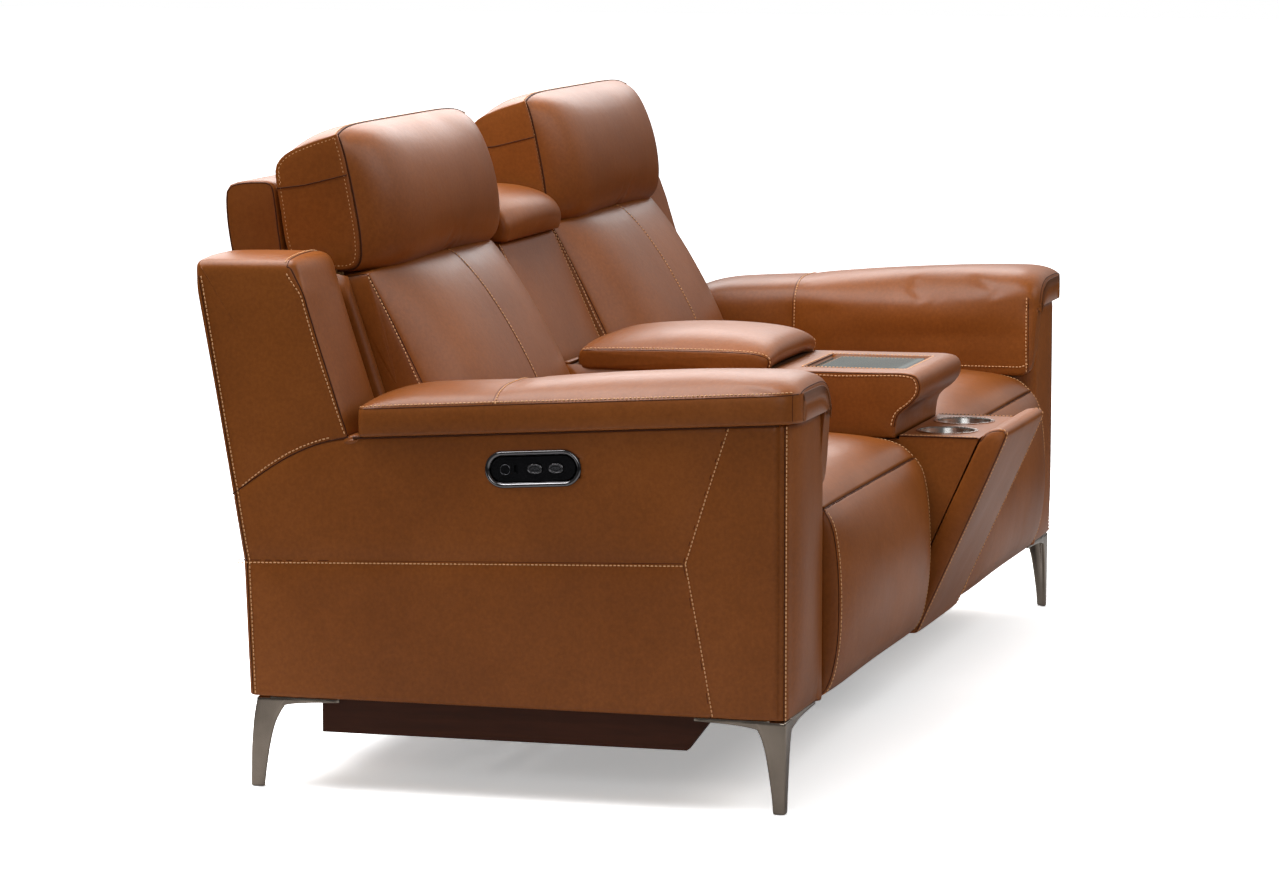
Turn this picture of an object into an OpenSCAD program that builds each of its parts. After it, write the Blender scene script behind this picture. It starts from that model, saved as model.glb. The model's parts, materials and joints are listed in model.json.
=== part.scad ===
// Two-seat power reclining sofa with a centre console.
// Every place is first measured from the front plane of the arms: x to the right as seen from
// the front, y to the rear, z up from the floor. place() then moves it so that the origin lies
// on the floor under the middle of the sofa.

/* [Overall] */
// Width over the two outer side panels
sofa_w = 2000; // [1900:10:2200]
// Width of each arm
arm_w = 200; // [190:2:230]
// Width of the centre console
console_w = 316; // [300:2:340]
// Depth of the side panels along their lower edge
body_d = 821; // [815:1:850]
// Height of the arms' underside above the floor
under_z = 137; // [134:1:142]

/* [Arms] */
// Height of the arm pad's underside at the front
arm_front_z = 568; // [560:1:580]
// Slope of the arm pad, falling to the rear, in degrees
arm_slope = 3.5; // [3:0.1:4]
// Thickness of the padded outer side board
side_t = 25; // [20:1:30]
// Thickness of the arm pad's stitched side band
pad_band = 42; // [36:1:46]
// How far the arm pad's crown stands above its band
pad_crown = 24; // [16:1:28]
// How far the arm pad stands out over the side panel
pad_side_over = 14; // [8:1:18]
// How far the arm pad stands out over the front
pad_front_over = 21; // [14:1:24]
// Where the arm pad meets the wing
pad_rear_y = 646; // [640:1:650]
// Height of the lower edge of the leather apron inside each arm
apron_z = 441; // [436:1:446]
// Thickness of the apron and the arm's inner panel
apron_t = 32; // [28:1:34]
// Height of the wing's top at its front corner
wing_top_z = 783; // [760:1:800]
// How far the wing's inner face lies outside the apron
wing_inset = 20; // [16:1:30]

/* [Legs] */
// Distance of each foot's centre from the outer side
foot_in_x = 34; // [28:1:38]
// Distance of the front feet's centres from the front
foot_in_y = 18; // [15:1:22]
// Width of each foot
foot_w = 24; // [20:1:28]
// Length of the leg's plate along the side
leg_plate_y = 140; // [110:5:150]
// Length of the leg's plate along the front
leg_plate_x = 158; // [110:5:160]

/* [Seats] */
// Height of the seat's stitched side edge
seat_z = 447; // [442:1:452]
// Crown of the seat above its side edge
seat_crown = 20; // [10:1:24]
// Depth of the seat cushion's top
seat_d = 508; // [490:1:510]
// Thickness of the wood seat frame
frame_t = 40; // [36:1:42]
// Gap between each seat and the console
console_gap = 7; // [5:1:9]
// Gap between each seat and the arm's apron
arm_gap = 3; // [2:0.5:5]
// How far the front panel bulges at the middle of its width
front_bulge = 48; // [30:1:52]

/* [Leg rest linkage] */
// Length of each lazy-tong bar between its end pins
bar_l = 190; // [180:1:191]
// Width of each bar
bar_w = 16; // [14:0.5:17]
// Thickness of each bar
bar_t = 3; // [2.5:0.1:3.4]
// Diameter of the linkage pins
pin_d = 8; // [6:0.5:9]
// Angle between the bars and the line of travel when folded, in degrees
fold_a = 84; // [83:0.5:84]
// Angle between the bars and the line of travel when open, in degrees
open_a = 8; // [8:0.5:12]
// Rise of the line of travel towards the front, in degrees
travel_a = 14; // [13:0.5:15]
// Crank length on the drive tube
crank_r = 70; // [66:0.5:72]

/* [Backs] */
// Furthest that each back reclines, in degrees
recline_a = 30; // [20:1:32]
// Height of the back's hinge
hinge_z = 350; // [348:1:356]
// Distance of the back's hinge from the front plane
hinge_y = 720; // [716:1:722]
// Height of the outer back shell
shell_z = 882; // [870:1:895]
// Wall of the outer back shell
shell_t = 15; // [12:1:18]
// Height of the headrest
headrest_z = 966; // [955:1:975]
// How far the headrest tilts forward, in degrees
headrest_a = 30; // [15:1:32]
// Radius of the curved headrest stays about the tilt centre
stay_r = 155; // [153:0.5:157]

/* [Console] */
// Height of the console's middle section
nose_z = 550; // [546:1:554]
// Height of the cup tray
tray_z = 450; // [447:1:453]
// Radius of each cup holder's bore
cup_r = 44.5; // [41:0.5:46]
// Depth of each cup holder
cup_depth = 75; // [60:1:75]
// Radius of each cup holder at its floor
cup_base_r = 34; // [30:0.5:34]
// Distance between the two cup holders
cup_pitch = 134; // [120:1:140]
// Thickness of the slanted front board, measured along the floor
board_t = 43; // [36:1:45]
// Depth of the storage box under the lid
storage_depth = 240; // [180:5:250]
// Furthest that the lid opens, in degrees
lid_a = 70; // [60:1:72]

/* [Controls] */
// Length of the control panel's bevelled rim
bezel_l = 148; // [140:1:156]
// Height of the control panel's bevelled rim
bezel_h = 55; // [50:1:60]
// Distance of the control panel's centre from the front
bezel_y = 380; // [340:1:400]
// Height of the control panel's centre
bezel_z = 491; // [485:1:495]
// Diameter of the round button
button_d = 16; // [14:0.5:17]

/* [Hidden] */

LEATHER = "peru";
DARK_LEATHER = "saddlebrown";
METAL = "silver";
STEEL = "dimgray";
WOOD = "burlywood";
DARK_BOARD = "maroon";

$fn = 40;
// Gap kept between surfaces that slide or turn past each other
run = 0.3;
// Gap left between separate pieces that are fixed to each other
joint_gap = 0.2;
// Radial clearance of a pin in its hole
pin_run = 0.1;
half_w = sofa_w / 2;
apron_x = half_w - arm_w;
seat_out = apron_x - arm_gap;
seat_in = console_w / 2 + console_gap;
seat_w = seat_out - seat_in;
seat_c = (seat_out + seat_in) / 2;

// Foremost and rearmost points of the sofa, which set the origin
board_top_y = -150;
shell_rear_y = 926;
mid_y = (shell_rear_y + board_top_y) / 2;

function mix(a, b, t) = a + (b - a) * t;
function next(i, n) = (i + 1) % n;
// Corner cutting: each pass replaces every corner by two points a quarter along its sides
function cut_corners(p, passes) = passes == 0 ? p : cut_corners(
    [for (i = [0 : len(p) - 1])
        each [mix(p[i], p[next(i, len(p))], 0.25), mix(p[i], p[next(i, len(p))], 0.75)]],
    passes - 1);
function arc(c, r, a0, a1, steps) =
    [for (i = [0 : steps]) let (a = mix(a0, a1, i / steps)) c + r * [cos(a), sin(a)]];
function mean(p) = [for (k = [0 : len(p[0]) - 1]) [for (q = p) q[k]] * [for (q = p) 1] / len(p)];
// A point drawn towards c by the distance d
function pull(p, c, d) = p + (c - p) * min(d / max(norm(c - p), 0.01), 0.95);
// Direction at an angle above the forward horizontal, in the side view (y, z)
function dir(a) = [-cos(a), sin(a)];

module place() translate([0, -mid_y, 0]) children();
// Extrudes a side view, drawn as (y, z), from x0 to x1
module span(x0, x1) translate([x0, 0, 0]) rotate([90, 0, 90]) linear_extrude(x1 - x0) children();
module both() {
    children();
    mirror([1, 0, 0]) children();
}
module left_seat() translate([-seat_c, 0, 0]) children();
module right_seat() translate([seat_c, 0, 0]) children();
// A rod along x through the side view's point p
module rod(p, r, x0, x1) translate([x0, p[0], p[1]]) rotate([0, 90, 0]) cylinder(h = x1 - x0, r = r);
// Closed skin over rings of equal length, with a fan of triangles on each end
module skin(rings, cap0, cap1) {
    n = len(rings[0]);
    m = len(rings);
    points = concat([for (r = rings) each r], [cap0, cap1]);
    faces = concat(
        [for (i = [0 : m - 2], j = [0 : n - 1])
            each [[i * n + j, (i + 1) * n + next(j, n), i * n + next(j, n)],
                  [i * n + j, (i + 1) * n + j, (i + 1) * n + next(j, n)]]],
        [for (j = [0 : n - 1]) [n * m, j, next(j, n)]],
        [for (j = [0 : n - 1]) [n * m + 1, (m - 1) * n + next(j, n), (m - 1) * n + j]]);
    polyhedron(points, faces, convexity = 4);
}
// Padded body along x: its side view goes from edge to mid and back, and its ends roll in
module padded(edge, mid, x0, x1, roll0, roll1, steps, passes = 1) {
    e = cut_corners(edge, passes);
    m = cut_corners(mid, passes);
    c = mean(e);
    turns = 2;
    stations = concat(
        [for (i = [0 : turns - 1]) let (a = 90 * i / turns) [x0 + roll0 * (1 - cos(a)), 0, roll0 * (1 - sin(a))]],
        [for (i = [0 : steps]) let (t = i / steps) [mix(x0 + roll0, x1 - roll1, t), 1 - pow(2 * t - 1, 4), 0]],
        [for (i = [turns - 1 : -1 : 0]) let (a = 90 * i / turns) [x1 - roll1 * (1 - cos(a)), 0, roll1 * (1 - sin(a))]]);
    rings = [for (s = stations) [for (k = [0 : len(e) - 1])
        let (q = pull(mix(e[k], m[k], s[1]), c, s[2])) [s[0], q[0], q[1]]]];
    skin(rings, [x0, c[0], c[1]], [x1, c[0], c[1]]);
}

// Side outline of the arms and wings
wing_foot = [662, pad_under(662)];
wing_rear_top = [901, wing_top_z - 17];
wing_front_top = [748, wing_top_z];
wing_round = 14;
function pad_under(y) = arm_front_z - y * tan(arm_slope);
rear_slope = [[under_z, body_d], [339, body_d + 7], [443, body_d + 23], [wing_rear_top[1], body_d + 80]];
// The rear edge's distance from the front at a height
function rear_y(z) = lookup(z, rear_slope);
rear_corner = [rear_y(wing_foot[1]), wing_foot[1]];
rear_edge = [for (z = [under_z, 339, 443]) [rear_y(z), z]];
front_post = 60;
// Thickness of the strip that closes each arm at the rear
rear_strip = 20;

module side_outline() polygon(concat(
    [[0, under_z]], rear_edge,
    arc([wing_rear_top[0] - wing_round, wing_rear_top[1] - wing_round], wing_round, 0, 80, 4),
    arc([wing_front_top[0] + wing_round, wing_front_top[1] - wing_round], wing_round, 96, 160, 4),
    [wing_foot, [0, pad_under(0)]]));

// Stadium of the control panel, drawn in the side view
module stadium(l, h) {
    translate([-(l - h) / 2, 0]) circle(d = h);
    translate([(l - h) / 2, 0]) circle(d = h);
    square([l - h, h], center = true);
}
module at_controls(x0, x1) translate([x0, bezel_y, bezel_z]) rotate([-arm_slope, 0, 0])
    span(0, x1 - x0) children();
face_l = bezel_l - 20;
face_h = bezel_h - 19;
pocket = 16;

// Arm's outer panel: padded side board, rounded front roll and rear strip
module outer_panel() {
    inner = -apron_x - apron_t - 1;
    r_in = 34;
    r_out = 10;
    difference() {
        union() {
            span(-half_w, -half_w + side_t) side_outline();
            intersection() {
                translate([0, 0, under_z]) linear_extrude(arm_front_z) polygon(concat(
                    arc([-half_w + r_out, r_out], r_out, 180, 270, 4),
                    arc([inner - r_in, r_in], r_in, 270, 360, 6),
                    [[inner, front_post], [-half_w, front_post]]));
                span(-half_w, inner) polygon([[0, under_z], [front_post, under_z],
                    [front_post, pad_under(front_post)], [0, pad_under(0)]]);
            }
            span(-half_w, inner) polygon(concat(rear_edge, [rear_corner, rear_corner - [rear_strip, 0]],
                [for (i = [2 : -1 : 0]) rear_edge[i] - [rear_strip, 0]]));
        }
        at_controls(-half_w - 1, -half_w + pocket) stadium(face_l + 2 * run, face_h + 2 * run);
    }
}
module left_outer_panel() color(LEATHER) place() outer_panel();
module right_outer_panel() color(LEATHER) place() mirror([1, 0, 0]) outer_panel();

// Thick padded wing beside the back
module wing_pad() {
    foot = wing_foot + [6, 0];
    rear = rear_corner;
    outline = [foot, foot, rear, rear, wing_rear_top - [2, 2], wing_front_top + [3, -3],
        mix(wing_front_top, foot, 0.5) + [1, 0]];
    swell = [foot, foot, rear, rear, wing_rear_top - [2, 0], wing_front_top + [1, 0],
        mix(wing_front_top, foot, 0.5) - [12, 0]];
    padded(outline, swell, -half_w + side_t, -apron_x - wing_inset, 0.5, 34, 5, 2);
}
module left_wing_pad() color(LEATHER) place() wing_pad();
module right_wing_pad() color(LEATHER) place() mirror([1, 0, 0]) wing_pad();

// Arm pad along y: a stitched band below a low crown, rolled in at both ends
module arm_pad() {
    out = -half_w - pad_side_over;
    w = arm_w + pad_side_over;
    section = [[3, 0], [0, 14], [0, pad_band - 8], [5, pad_band + 1], [w * 0.22, pad_band + pad_crown * 0.8],
        [w * 0.55, pad_band + pad_crown], [w * 0.85, pad_band + pad_crown * 0.9],
        [w, pad_band + 4], [w, 20], [w, 0]];
    outline = cut_corners(concat([section[0]], section, [section[9]]), 1);
    front = -pad_front_over;
    // Each station: distance from the front, drop of the crown, draw of the sides
    ends = [[0, 26, 12], [7, 14, 5], [22, 5, 1], [55, 0, 0]];
    length = pad_rear_y - front;
    stations = concat(
        [for (i = [0 : 2]) [pad_rear_y - ends[i][0] * 0.8, ends[i][1], ends[i][2] * 0.7]],
        [for (i = [0 : 4]) [mix(pad_rear_y - 60, front + 70, i / 4), 0, 0]],
        [for (i = [3 : -1 : 0]) [front + ends[i][0], ends[i][1], ends[i][2]]]);
    rings = [for (s = stations) [for (p = outline)
        let (h = pad_band + pad_crown, z = p[1] + joint_gap - s[1] * pow(max(p[1], 0) / h, 2),
             x = mix(p[0], w / 2, s[2] / (w / 2)))
        [out + x, s[0], pad_under(s[0]) + z]]];
    skin(rings, [out + w / 2, pad_rear_y, pad_under(pad_rear_y) + 18],
        [out + w / 2, front, pad_under(front) + 18]);
}
module left_arm_pad() color(LEATHER) place() arm_pad();
module right_arm_pad() color(LEATHER) place() mirror([1, 0, 0]) arm_pad();

// Inner side of each arm: a plain lower panel and the apron above the seat
module inner_panel() {
    x0 = -apron_x - apron_t;
    step = 3;
    corner = 18;
    post_y = 25;
    span(x0, -apron_x - step) polygon(concat([[post_y, under_z]], rear_edge,
        [rear_corner, wing_foot, [post_y, pad_under(post_y)]]));
    span(x0, -apron_x) polygon(concat(
        arc([-pad_front_over + 4 + corner, apron_z + corner], corner, 180, 270, 5),
        [[wing_foot[0] - 20, apron_z], [wing_foot[0] - 20, pad_under(wing_foot[0] - 20)],
         [-pad_front_over + 4, pad_under(-pad_front_over + 4)]]));
}
module arm_inner_panels() color(LEATHER) place() both() inner_panel();

// Plywood carcass inside each arm
ply = 18;
module arm_frame() {
    x0 = -half_w + side_t;
    x1 = -apron_x - apron_t;
    last = body_d - rear_strip - 1 - ply;
    top_rear = rear_y(wing_foot[1] - ply) - rear_strip;
    span(x0, x1) polygon([[front_post, under_z], [body_d - rear_strip, under_z],
        [body_d - rear_strip, under_z + ply], [front_post, under_z + ply]]);
    span(x0, x1) polygon([[front_post, pad_under(front_post) - ply], [wing_foot[0], wing_foot[1] - ply],
        [top_rear, wing_foot[1] - ply], [top_rear, wing_foot[1]], wing_foot,
        [front_post, pad_under(front_post)]]);
    for (i = [0 : 4]) {
        y = mix(front_post, last, i / 4);
        span(x0 + (i == 2 ? pocket : 0), x1) polygon([[y, under_z], [y + ply, under_z], [y + ply,
            wing_foot[1] - 2], [y, wing_foot[1] - 2]]);
    }
}
module arm_frames() color(WOOD) place() both() arm_frame();

// Cast corner leg: an angle section that tapers and slants in to a small foot, under two plates
module leg(foot_x, foot_y) {
    glide = 4;
    plate = 4;
    h = under_z - plate;
    flare = 3.2;
    steps = 9;
    function angle_section(z) = let (t = z / h, w = foot_w - 2,
        a = w + 44 * pow(t, flare), b = w + 36 * pow(t, flare), s = 7,
        x = (foot_x - foot_w / 2) * (1 - pow(t, 1.4)), y = (foot_y - foot_w / 2) * (1 - pow(t, 1.4)))
        [for (p = [[0, 0], [a, 0], [a, s], [s, s], [s, b], [0, b]]) [x + p[0], y + p[1], z]];
    rings = [for (i = [0 : steps]) angle_section(mix(glide, h, i / steps))];
    skin(rings, mean([rings[0][0], rings[0][3]]), mean([rings[steps][0], rings[steps][3]]));
    translate([foot_x - foot_w / 2, foot_y - foot_w / 2, 0]) cube([foot_w, foot_w, glide]);
    translate([0, 0, h]) linear_extrude(plate) polygon([[0, 0], [leg_plate_x - 14, 0],
        [leg_plate_x, 14], [leg_plate_x, 22], [70, 30], [30, 70], [22, leg_plate_y],
        [14, leg_plate_y], [0, leg_plate_y - 14]]);
}
rear_foot_in_y = foot_in_y - 3;
module legs() color(METAL) place() both() {
    translate([-half_w + 2, 2, 0]) leg(foot_in_x - 2, foot_in_y - 2);
    translate([-half_w + 2, body_d - 2, 0]) mirror([0, 1, 0]) leg(foot_in_x - 2, rear_foot_in_y - 2);
}

// Dark boards under each arm, and the steel cross rails between them
base_in = 70;
base_t = 20;
rail_z = 80;
rail_h = 25;
rail_w = 40;
rail_top = rail_z + rail_h;
front_rail_y = 210;
rear_rail_y = 610;
module base_rails() color(DARK_BOARD) place() both()
    span(-half_w + base_in, -half_w + base_in + base_t)
        polygon([[168, rail_z - 6], [731, rail_z - 6], [731, under_z], [126, under_z], [126, under_z - 8]]);
// Each rail is a box girder: two flats with two webs between them
module cross_rails() color(STEEL) place() for (y = [front_rail_y, rear_rail_y]) {
    w = half_w - base_in - base_t;
    wall = 2.5;
    web_z = wall + joint_gap;
    for (z = [0, rail_h - wall]) translate([-w, y, rail_z + z]) cube([2 * w, rail_w, wall]);
    for (v = [0, rail_w - wall]) translate([-w, y + v, rail_z + web_z])
        cube([2 * w, wall, rail_h - 2 * web_z]);
}

// Lazy-tong geometry in the side view: a bars lean forward, b bars cross them
post = [125, 115];
axle_r = 10;
function bar(a) = bar_l * dir(a);
a_rest = travel_a + fold_a;
b_rest = travel_a - fold_a;
top1 = post + bar(a_rest);
mid1 = post + bar(a_rest) / 2;
low1 = mid1 + bar(b_rest) / 2;
slide1 = mid1 - bar(b_rest) / 2;
top2 = low1 + bar(a_rest);
low2 = top1 + bar(b_rest);
mid2 = low1 + bar(a_rest) / 2;
mid3 = top2 + bar(b_rest) / 2;
up = [sin(travel_a), cos(travel_a)];
slide1_open = post + up * bar_l * sin(open_a);
swing = fold_a - open_a;
// Layers from the side plate inwards
plate_t = 4;
plate_x = seat_w / 2 - 2;
gap_x = 1;
layer_a = plate_x - plate_t - gap_x - bar_t;
layer_b = layer_a - gap_x - bar_t;
head_t = 2;
pin_r = pin_d / 2;
slot_r = 5;
hinge = [hinge_y, hinge_z];
pivot_r = 8;
crank = post + crank_r * dir(90 + swing / 2);
frame_z = seat_z - 72;
carcass_top = frame_z - frame_t;

// Side plates of both mechanisms, with the guide slot, the hinge ear and their fixing flanges
module side_plate() {
    outer = plate_x - plate_t;
    span(outer, plate_x) difference() {
        union() {
            polygon([[98, rail_top], [690, rail_top], [700, hinge_z - 30],
                [hinge_y - 21, hinge_z], [600, carcass_top], [slide1[0] - 2, carcass_top],
                [slide1[0] - 14, carcass_top - 8], [98, 190]]);
            translate(hinge) circle(r = 22);
        }
        translate(post) circle(r = pin_r + pin_run);
        translate(hinge) circle(r = pivot_r + pin_run);
        polygon(concat(arc(slide1, slot_r + run, -travel_a, 180 - travel_a, 16),
            arc(slide1_open, slot_r + run, 180 - travel_a, 360 - travel_a, 16)));
        for (y = [300, 390, 480]) translate([y, 215]) circle(r = 34);
    }
    foot = 26;
    for (y = [front_rail_y, rear_rail_y])
        translate([outer - joint_gap - foot, y, rail_top]) cube([foot, rail_w, plate_t]);
    translate([outer - joint_gap - foot, front_rail_y, carcass_top - plate_t]) cube([foot, 330, plate_t]);
}
module side_plates() color(STEEL) place() {
    left_seat() both() side_plate();
    right_seat() both() side_plate();
}

// Width of the bars between their rounded ends
shank = bar_w - 0.4;
// A bar in the side view between points p and q, with a hole of radius r at each point in holes
module flat_bar(x0, p, q, holes, r) span(x0, x0 + bar_t) difference() {
    union() {
        for (e = [p, q]) translate(e) circle(d = bar_w);
        translate(p) rotate(atan2(q[1] - p[1], q[0] - p[0])) translate([0, -shank / 2])
            square([norm(q - p), shank]);
    }
    for (h = holes) translate(h) circle(r = r);
}
// Pin through both layers with a head on the inner side
module pin(p) {
    rod(p, pin_r, layer_b - gap_x, layer_a + bar_t);
    rod(p, pin_r + 2.5, layer_b - gap_x - head_t, layer_b - gap_x);
}
hole = pin_r + pin_run;

// First lifting bars, tied by the drive tube that carries the crank
module rear_lift_link() {
    both() {
        flat_bar(layer_a, post, top1, [], 0);
        rod(post, pin_r, layer_a, plate_x + 1);
        pin(mid1);
        pin(top1);
        rod(post, axle_r, 2, layer_a);
    }
    rod(post, axle_r, -2, 2);
    span(-3, 3) {
        translate(crank) circle(r = 9);
        translate(post) rotate(90 - swing / 2) translate([0, -8]) square([crank_r, 16]);
    }
    rod(crank, 5, -20, 20);
}
// Pin fixed in a cross bar's end, with its head on the inner side
module end_pin(p) {
    rod(p, pin_r, layer_b + 1, layer_a + bar_t);
    rod(p, pin_r + 2.5, layer_b - head_t, layer_b + 1);
}
module rear_cross_link() both() {
    flat_bar(layer_b, slide1, low1, [mid1], hole);
    rod(slide1, slot_r, layer_b + 1, plate_x);
    end_pin(low1);
}
module front_lift_link() both() {
    flat_bar(layer_a, low1, top2, [low1], hole);
    rod(mid2, pin_r, layer_b - gap_x, layer_a);
    rod(mid2, pin_r + 2.5, layer_b - gap_x - head_t, layer_b - gap_x);
    rod(top2, pin_r, layer_b - gap_x, layer_a);
    rod(top2, pin_r + 2.5, layer_b - gap_x - head_t, layer_b - gap_x);
}
module front_cross_link() both() {
    flat_bar(layer_b, top1, low2, [top1, mid2], hole);
    end_pin(low2);
}
module guide_link() both() flat_bar(layer_a, low2, mid3, [low2, mid3], hole);
// Leg rest board with a bracket at each side
board_y = 45;
board_ply = 12;
panel_low = 131;
module footrest_board() {
    y1 = board_y + board_ply;
    color(WOOD) span(-layer_b + 8, layer_b - 8)
        polygon([[board_y, panel_low + 12], [y1, panel_low + 12], [y1, 352], [board_y, 352]]);
    color(STEEL) both() {
        span(layer_b, layer_b + bar_t) difference() {
            union() {
                for (e = [top2, mid3]) translate(e) circle(d = bar_w);
                polygon([[y1, 205], [mid3[0] - 2, mid3[1] - 7], mid3, top2, [top2[0] - 3, top2[1] + 7],
                    [y1, 330]]);
            }
            translate(top2) circle(r = hole);
        }
        rod(mid3, pin_r, layer_b, layer_a + bar_t);
        translate([layer_b - 26, y1, 205]) cube([26 + bar_t, 3, 125]);
    }
}

// Seat frame with elastic webbing
module seat_frame() {
    w = seat_w / 2 - 6;
    y0 = 62;
    y1 = 556;
    wall = 22;
    strap = 2.5;
    translate([-w, y0, carcass_top]) difference() {
        cube([2 * w, y1 - y0, frame_t]);
        translate([wall, wall, -1]) cube([2 * w - 2 * wall, y1 - y0 - 2 * wall, frame_t + 2]);
    }
    for (x = [-200 : 100 : 200]) translate([x - 25, y0 + wall, frame_z - strap])
        cube([50, y1 - y0 - 2 * wall, strap]);
    for (y = [150 : 100 : 450]) translate([-w + wall, y, frame_z - 2 * strap])
        cube([2 * w - 2 * wall, 50, strap]);
}
module seat_frames() color(WOOD) place() {
    left_seat() seat_frame();
    right_seat() seat_frame();
}

// Seat cushion: crowned top, slanted parting line above the leg rest
part_top = [2, seat_z - 28];
module seat_cushion() {
    lip = [44, frame_z];
    rear_low = [556, frame_z];
    edge = [part_top, lip, lip, rear_low, rear_low, [seat_d, seat_z + 6], [seat_d - 60, seat_z + 9],
        [270, seat_z + 6], [70, seat_z + 2], [22, seat_z - 6], part_top];
    mid = [part_top, lip, lip, rear_low, rear_low, [seat_d, seat_z + 8],
        [seat_d - 70, seat_z + seat_crown], [270, seat_z + seat_crown + 6],
        [80, seat_z + seat_crown - 4], [16, seat_z + 2], part_top];
    padded(edge, mid, -seat_w / 2, seat_w / 2, 8, 8, 8);
}
module left_seat_cushion() color(LEATHER) place() left_seat() seat_cushion();
module right_seat_cushion() color(LEATHER) place() right_seat() seat_cushion();

// Leg rest pad: the sofa's front panel when folded
module footrest_pad() {
    tip = part_top - [3, 4];
    notch = [board_y, tip[1] - board_y * 1.12];
    base = [board_y, panel_low];
    edge = [tip, [-14, 392], [-22, 330], [-23, 230], [-12, 160], [2, panel_low], base, base, notch,
        notch, tip];
    mid = [tip, [-26, 398], [-front_bulge + 4, 330], [-front_bulge, 240], [-30, 165], [-4, panel_low],
        base, base, notch, notch, tip];
    padded(edge, mid, -seat_w / 2, seat_w / 2, 8, 8, 8);
}
module left_footrest_pad() color(LEATHER) place() left_seat() footrest_pad();
module right_footrest_pad() color(LEATHER) place() right_seat() footrest_pad();

// Seat linear motor: gearbox and motor at the rear, a square rail to the front
rail_c = [0, 190];
rail_half = 12;
rail_y0 = 236;
gear_y = 610;
module recline_motor() {
    translate([-rail_half, rail_y0, rail_c[1] - rail_half])
        cube([2 * rail_half, gear_y - rail_y0, 2 * rail_half]);
    translate([-26, gear_y, rail_c[1] - 26]) cube([52, 64, 52]);
    rod([gear_y + 32, rail_c[1]], 26, -120, -26);
    rod([gear_y + 32, rail_c[1]], 22, -128, -120);
    translate([-14, rear_rail_y + 4, rail_top]) cube([28, 30, rail_c[1] - 26 - rail_top]);
    translate([-rail_half, rail_y0, rail_top]) cube([2 * rail_half, 8, rail_c[1] - rail_top]);
    translate([-rail_half, front_rail_y + 4, rail_top]) cube([2 * rail_half, 34, 4]);
}
module recline_motors() color(STEEL) place() {
    left_seat() recline_motor();
    right_seat() recline_motor();
}
// Carriage on the rail: slotted forks take the crank pin in front and the back's lever behind
carriage_y = 344;
carriage_l = 60;
lever_x = 36;
lever_r = 166;
lever = hinge + lever_r * [sin(recline_a / 2), -cos(recline_a / 2)];
fork_t = 4;
module fork_plate(x0, p, y_join, rise, fall, slack) span(x0, x0 + fork_t) difference() {
    y0 = min(p[0], y_join) - (p[0] < y_join ? 14 : 0);
    y1 = max(p[0], y_join) + (p[0] < y_join ? 0 : 14);
    translate([y0, p[1] - fall - 12]) square([y1 - y0, rise + fall + 24]);
    translate([p[0] - 5 - slack, p[1] - fall - 5 - run]) square([10 + 2 * slack, rise + fall + 10 + 2 * run]);
}
module drive_carriage() {
    width = lever_x + 10;
    play = 0.4;
    difference() {
        translate([-20, carriage_y, rail_c[1] - 24]) cube([20 + width, carriage_l, 44]);
        translate([-rail_half - play, carriage_y - 1, rail_c[1] - rail_half - play])
            cube([2 * (rail_half + play), carriage_l + 2, 2 * (rail_half + play)]);
    }
    for (x = [-19, 15]) fork_plate(x, crank, carriage_y, 15, 0, 1.8);
    translate([lever_x, carriage_y + carriage_l, 186]) rotate([-90, 0, 0])
        cylinder(h = lever[0] - 40 - carriage_y - carriage_l, r = 6);
    for (x = [lever_x - 4 - fork_t, lever_x + 4]) fork_plate(x, lever, lever[0] - 40, 0, 6, 0.8);
    translate([lever_x - 8, lever[0] - 40, lever[1] - 18]) cube([16, 12, 30]);
}
module left_drive_carriage() color(METAL) place() left_seat() drive_carriage();
module right_drive_carriage() color(METAL) place() right_seat() drive_carriage();

module left_rear_lift_link() color(STEEL) place() left_seat() rear_lift_link();
module right_rear_lift_link() color(STEEL) place() right_seat() rear_lift_link();
module left_rear_cross_link() color(STEEL) place() left_seat() rear_cross_link();
module right_rear_cross_link() color(STEEL) place() right_seat() rear_cross_link();
module left_front_lift_link() color(STEEL) place() left_seat() front_lift_link();
module right_front_lift_link() color(STEEL) place() right_seat() front_lift_link();
module left_front_cross_link() color(STEEL) place() left_seat() front_cross_link();
module right_front_cross_link() color(STEEL) place() right_seat() front_cross_link();
module left_guide_link() color(STEEL) place() left_seat() guide_link();
module right_guide_link() color(STEEL) place() right_seat() guide_link();
module left_footrest_board() place() left_seat() footrest_board();
module right_footrest_board() place() right_seat() footrest_board();

// Back frame: two side boards, two cross boards, the hinge tube and its lever
cushion_low = [632, 400];
cushion_top = [747, 741];
stay_c = [640, 700];
pin_angles = [4, 18];
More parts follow.
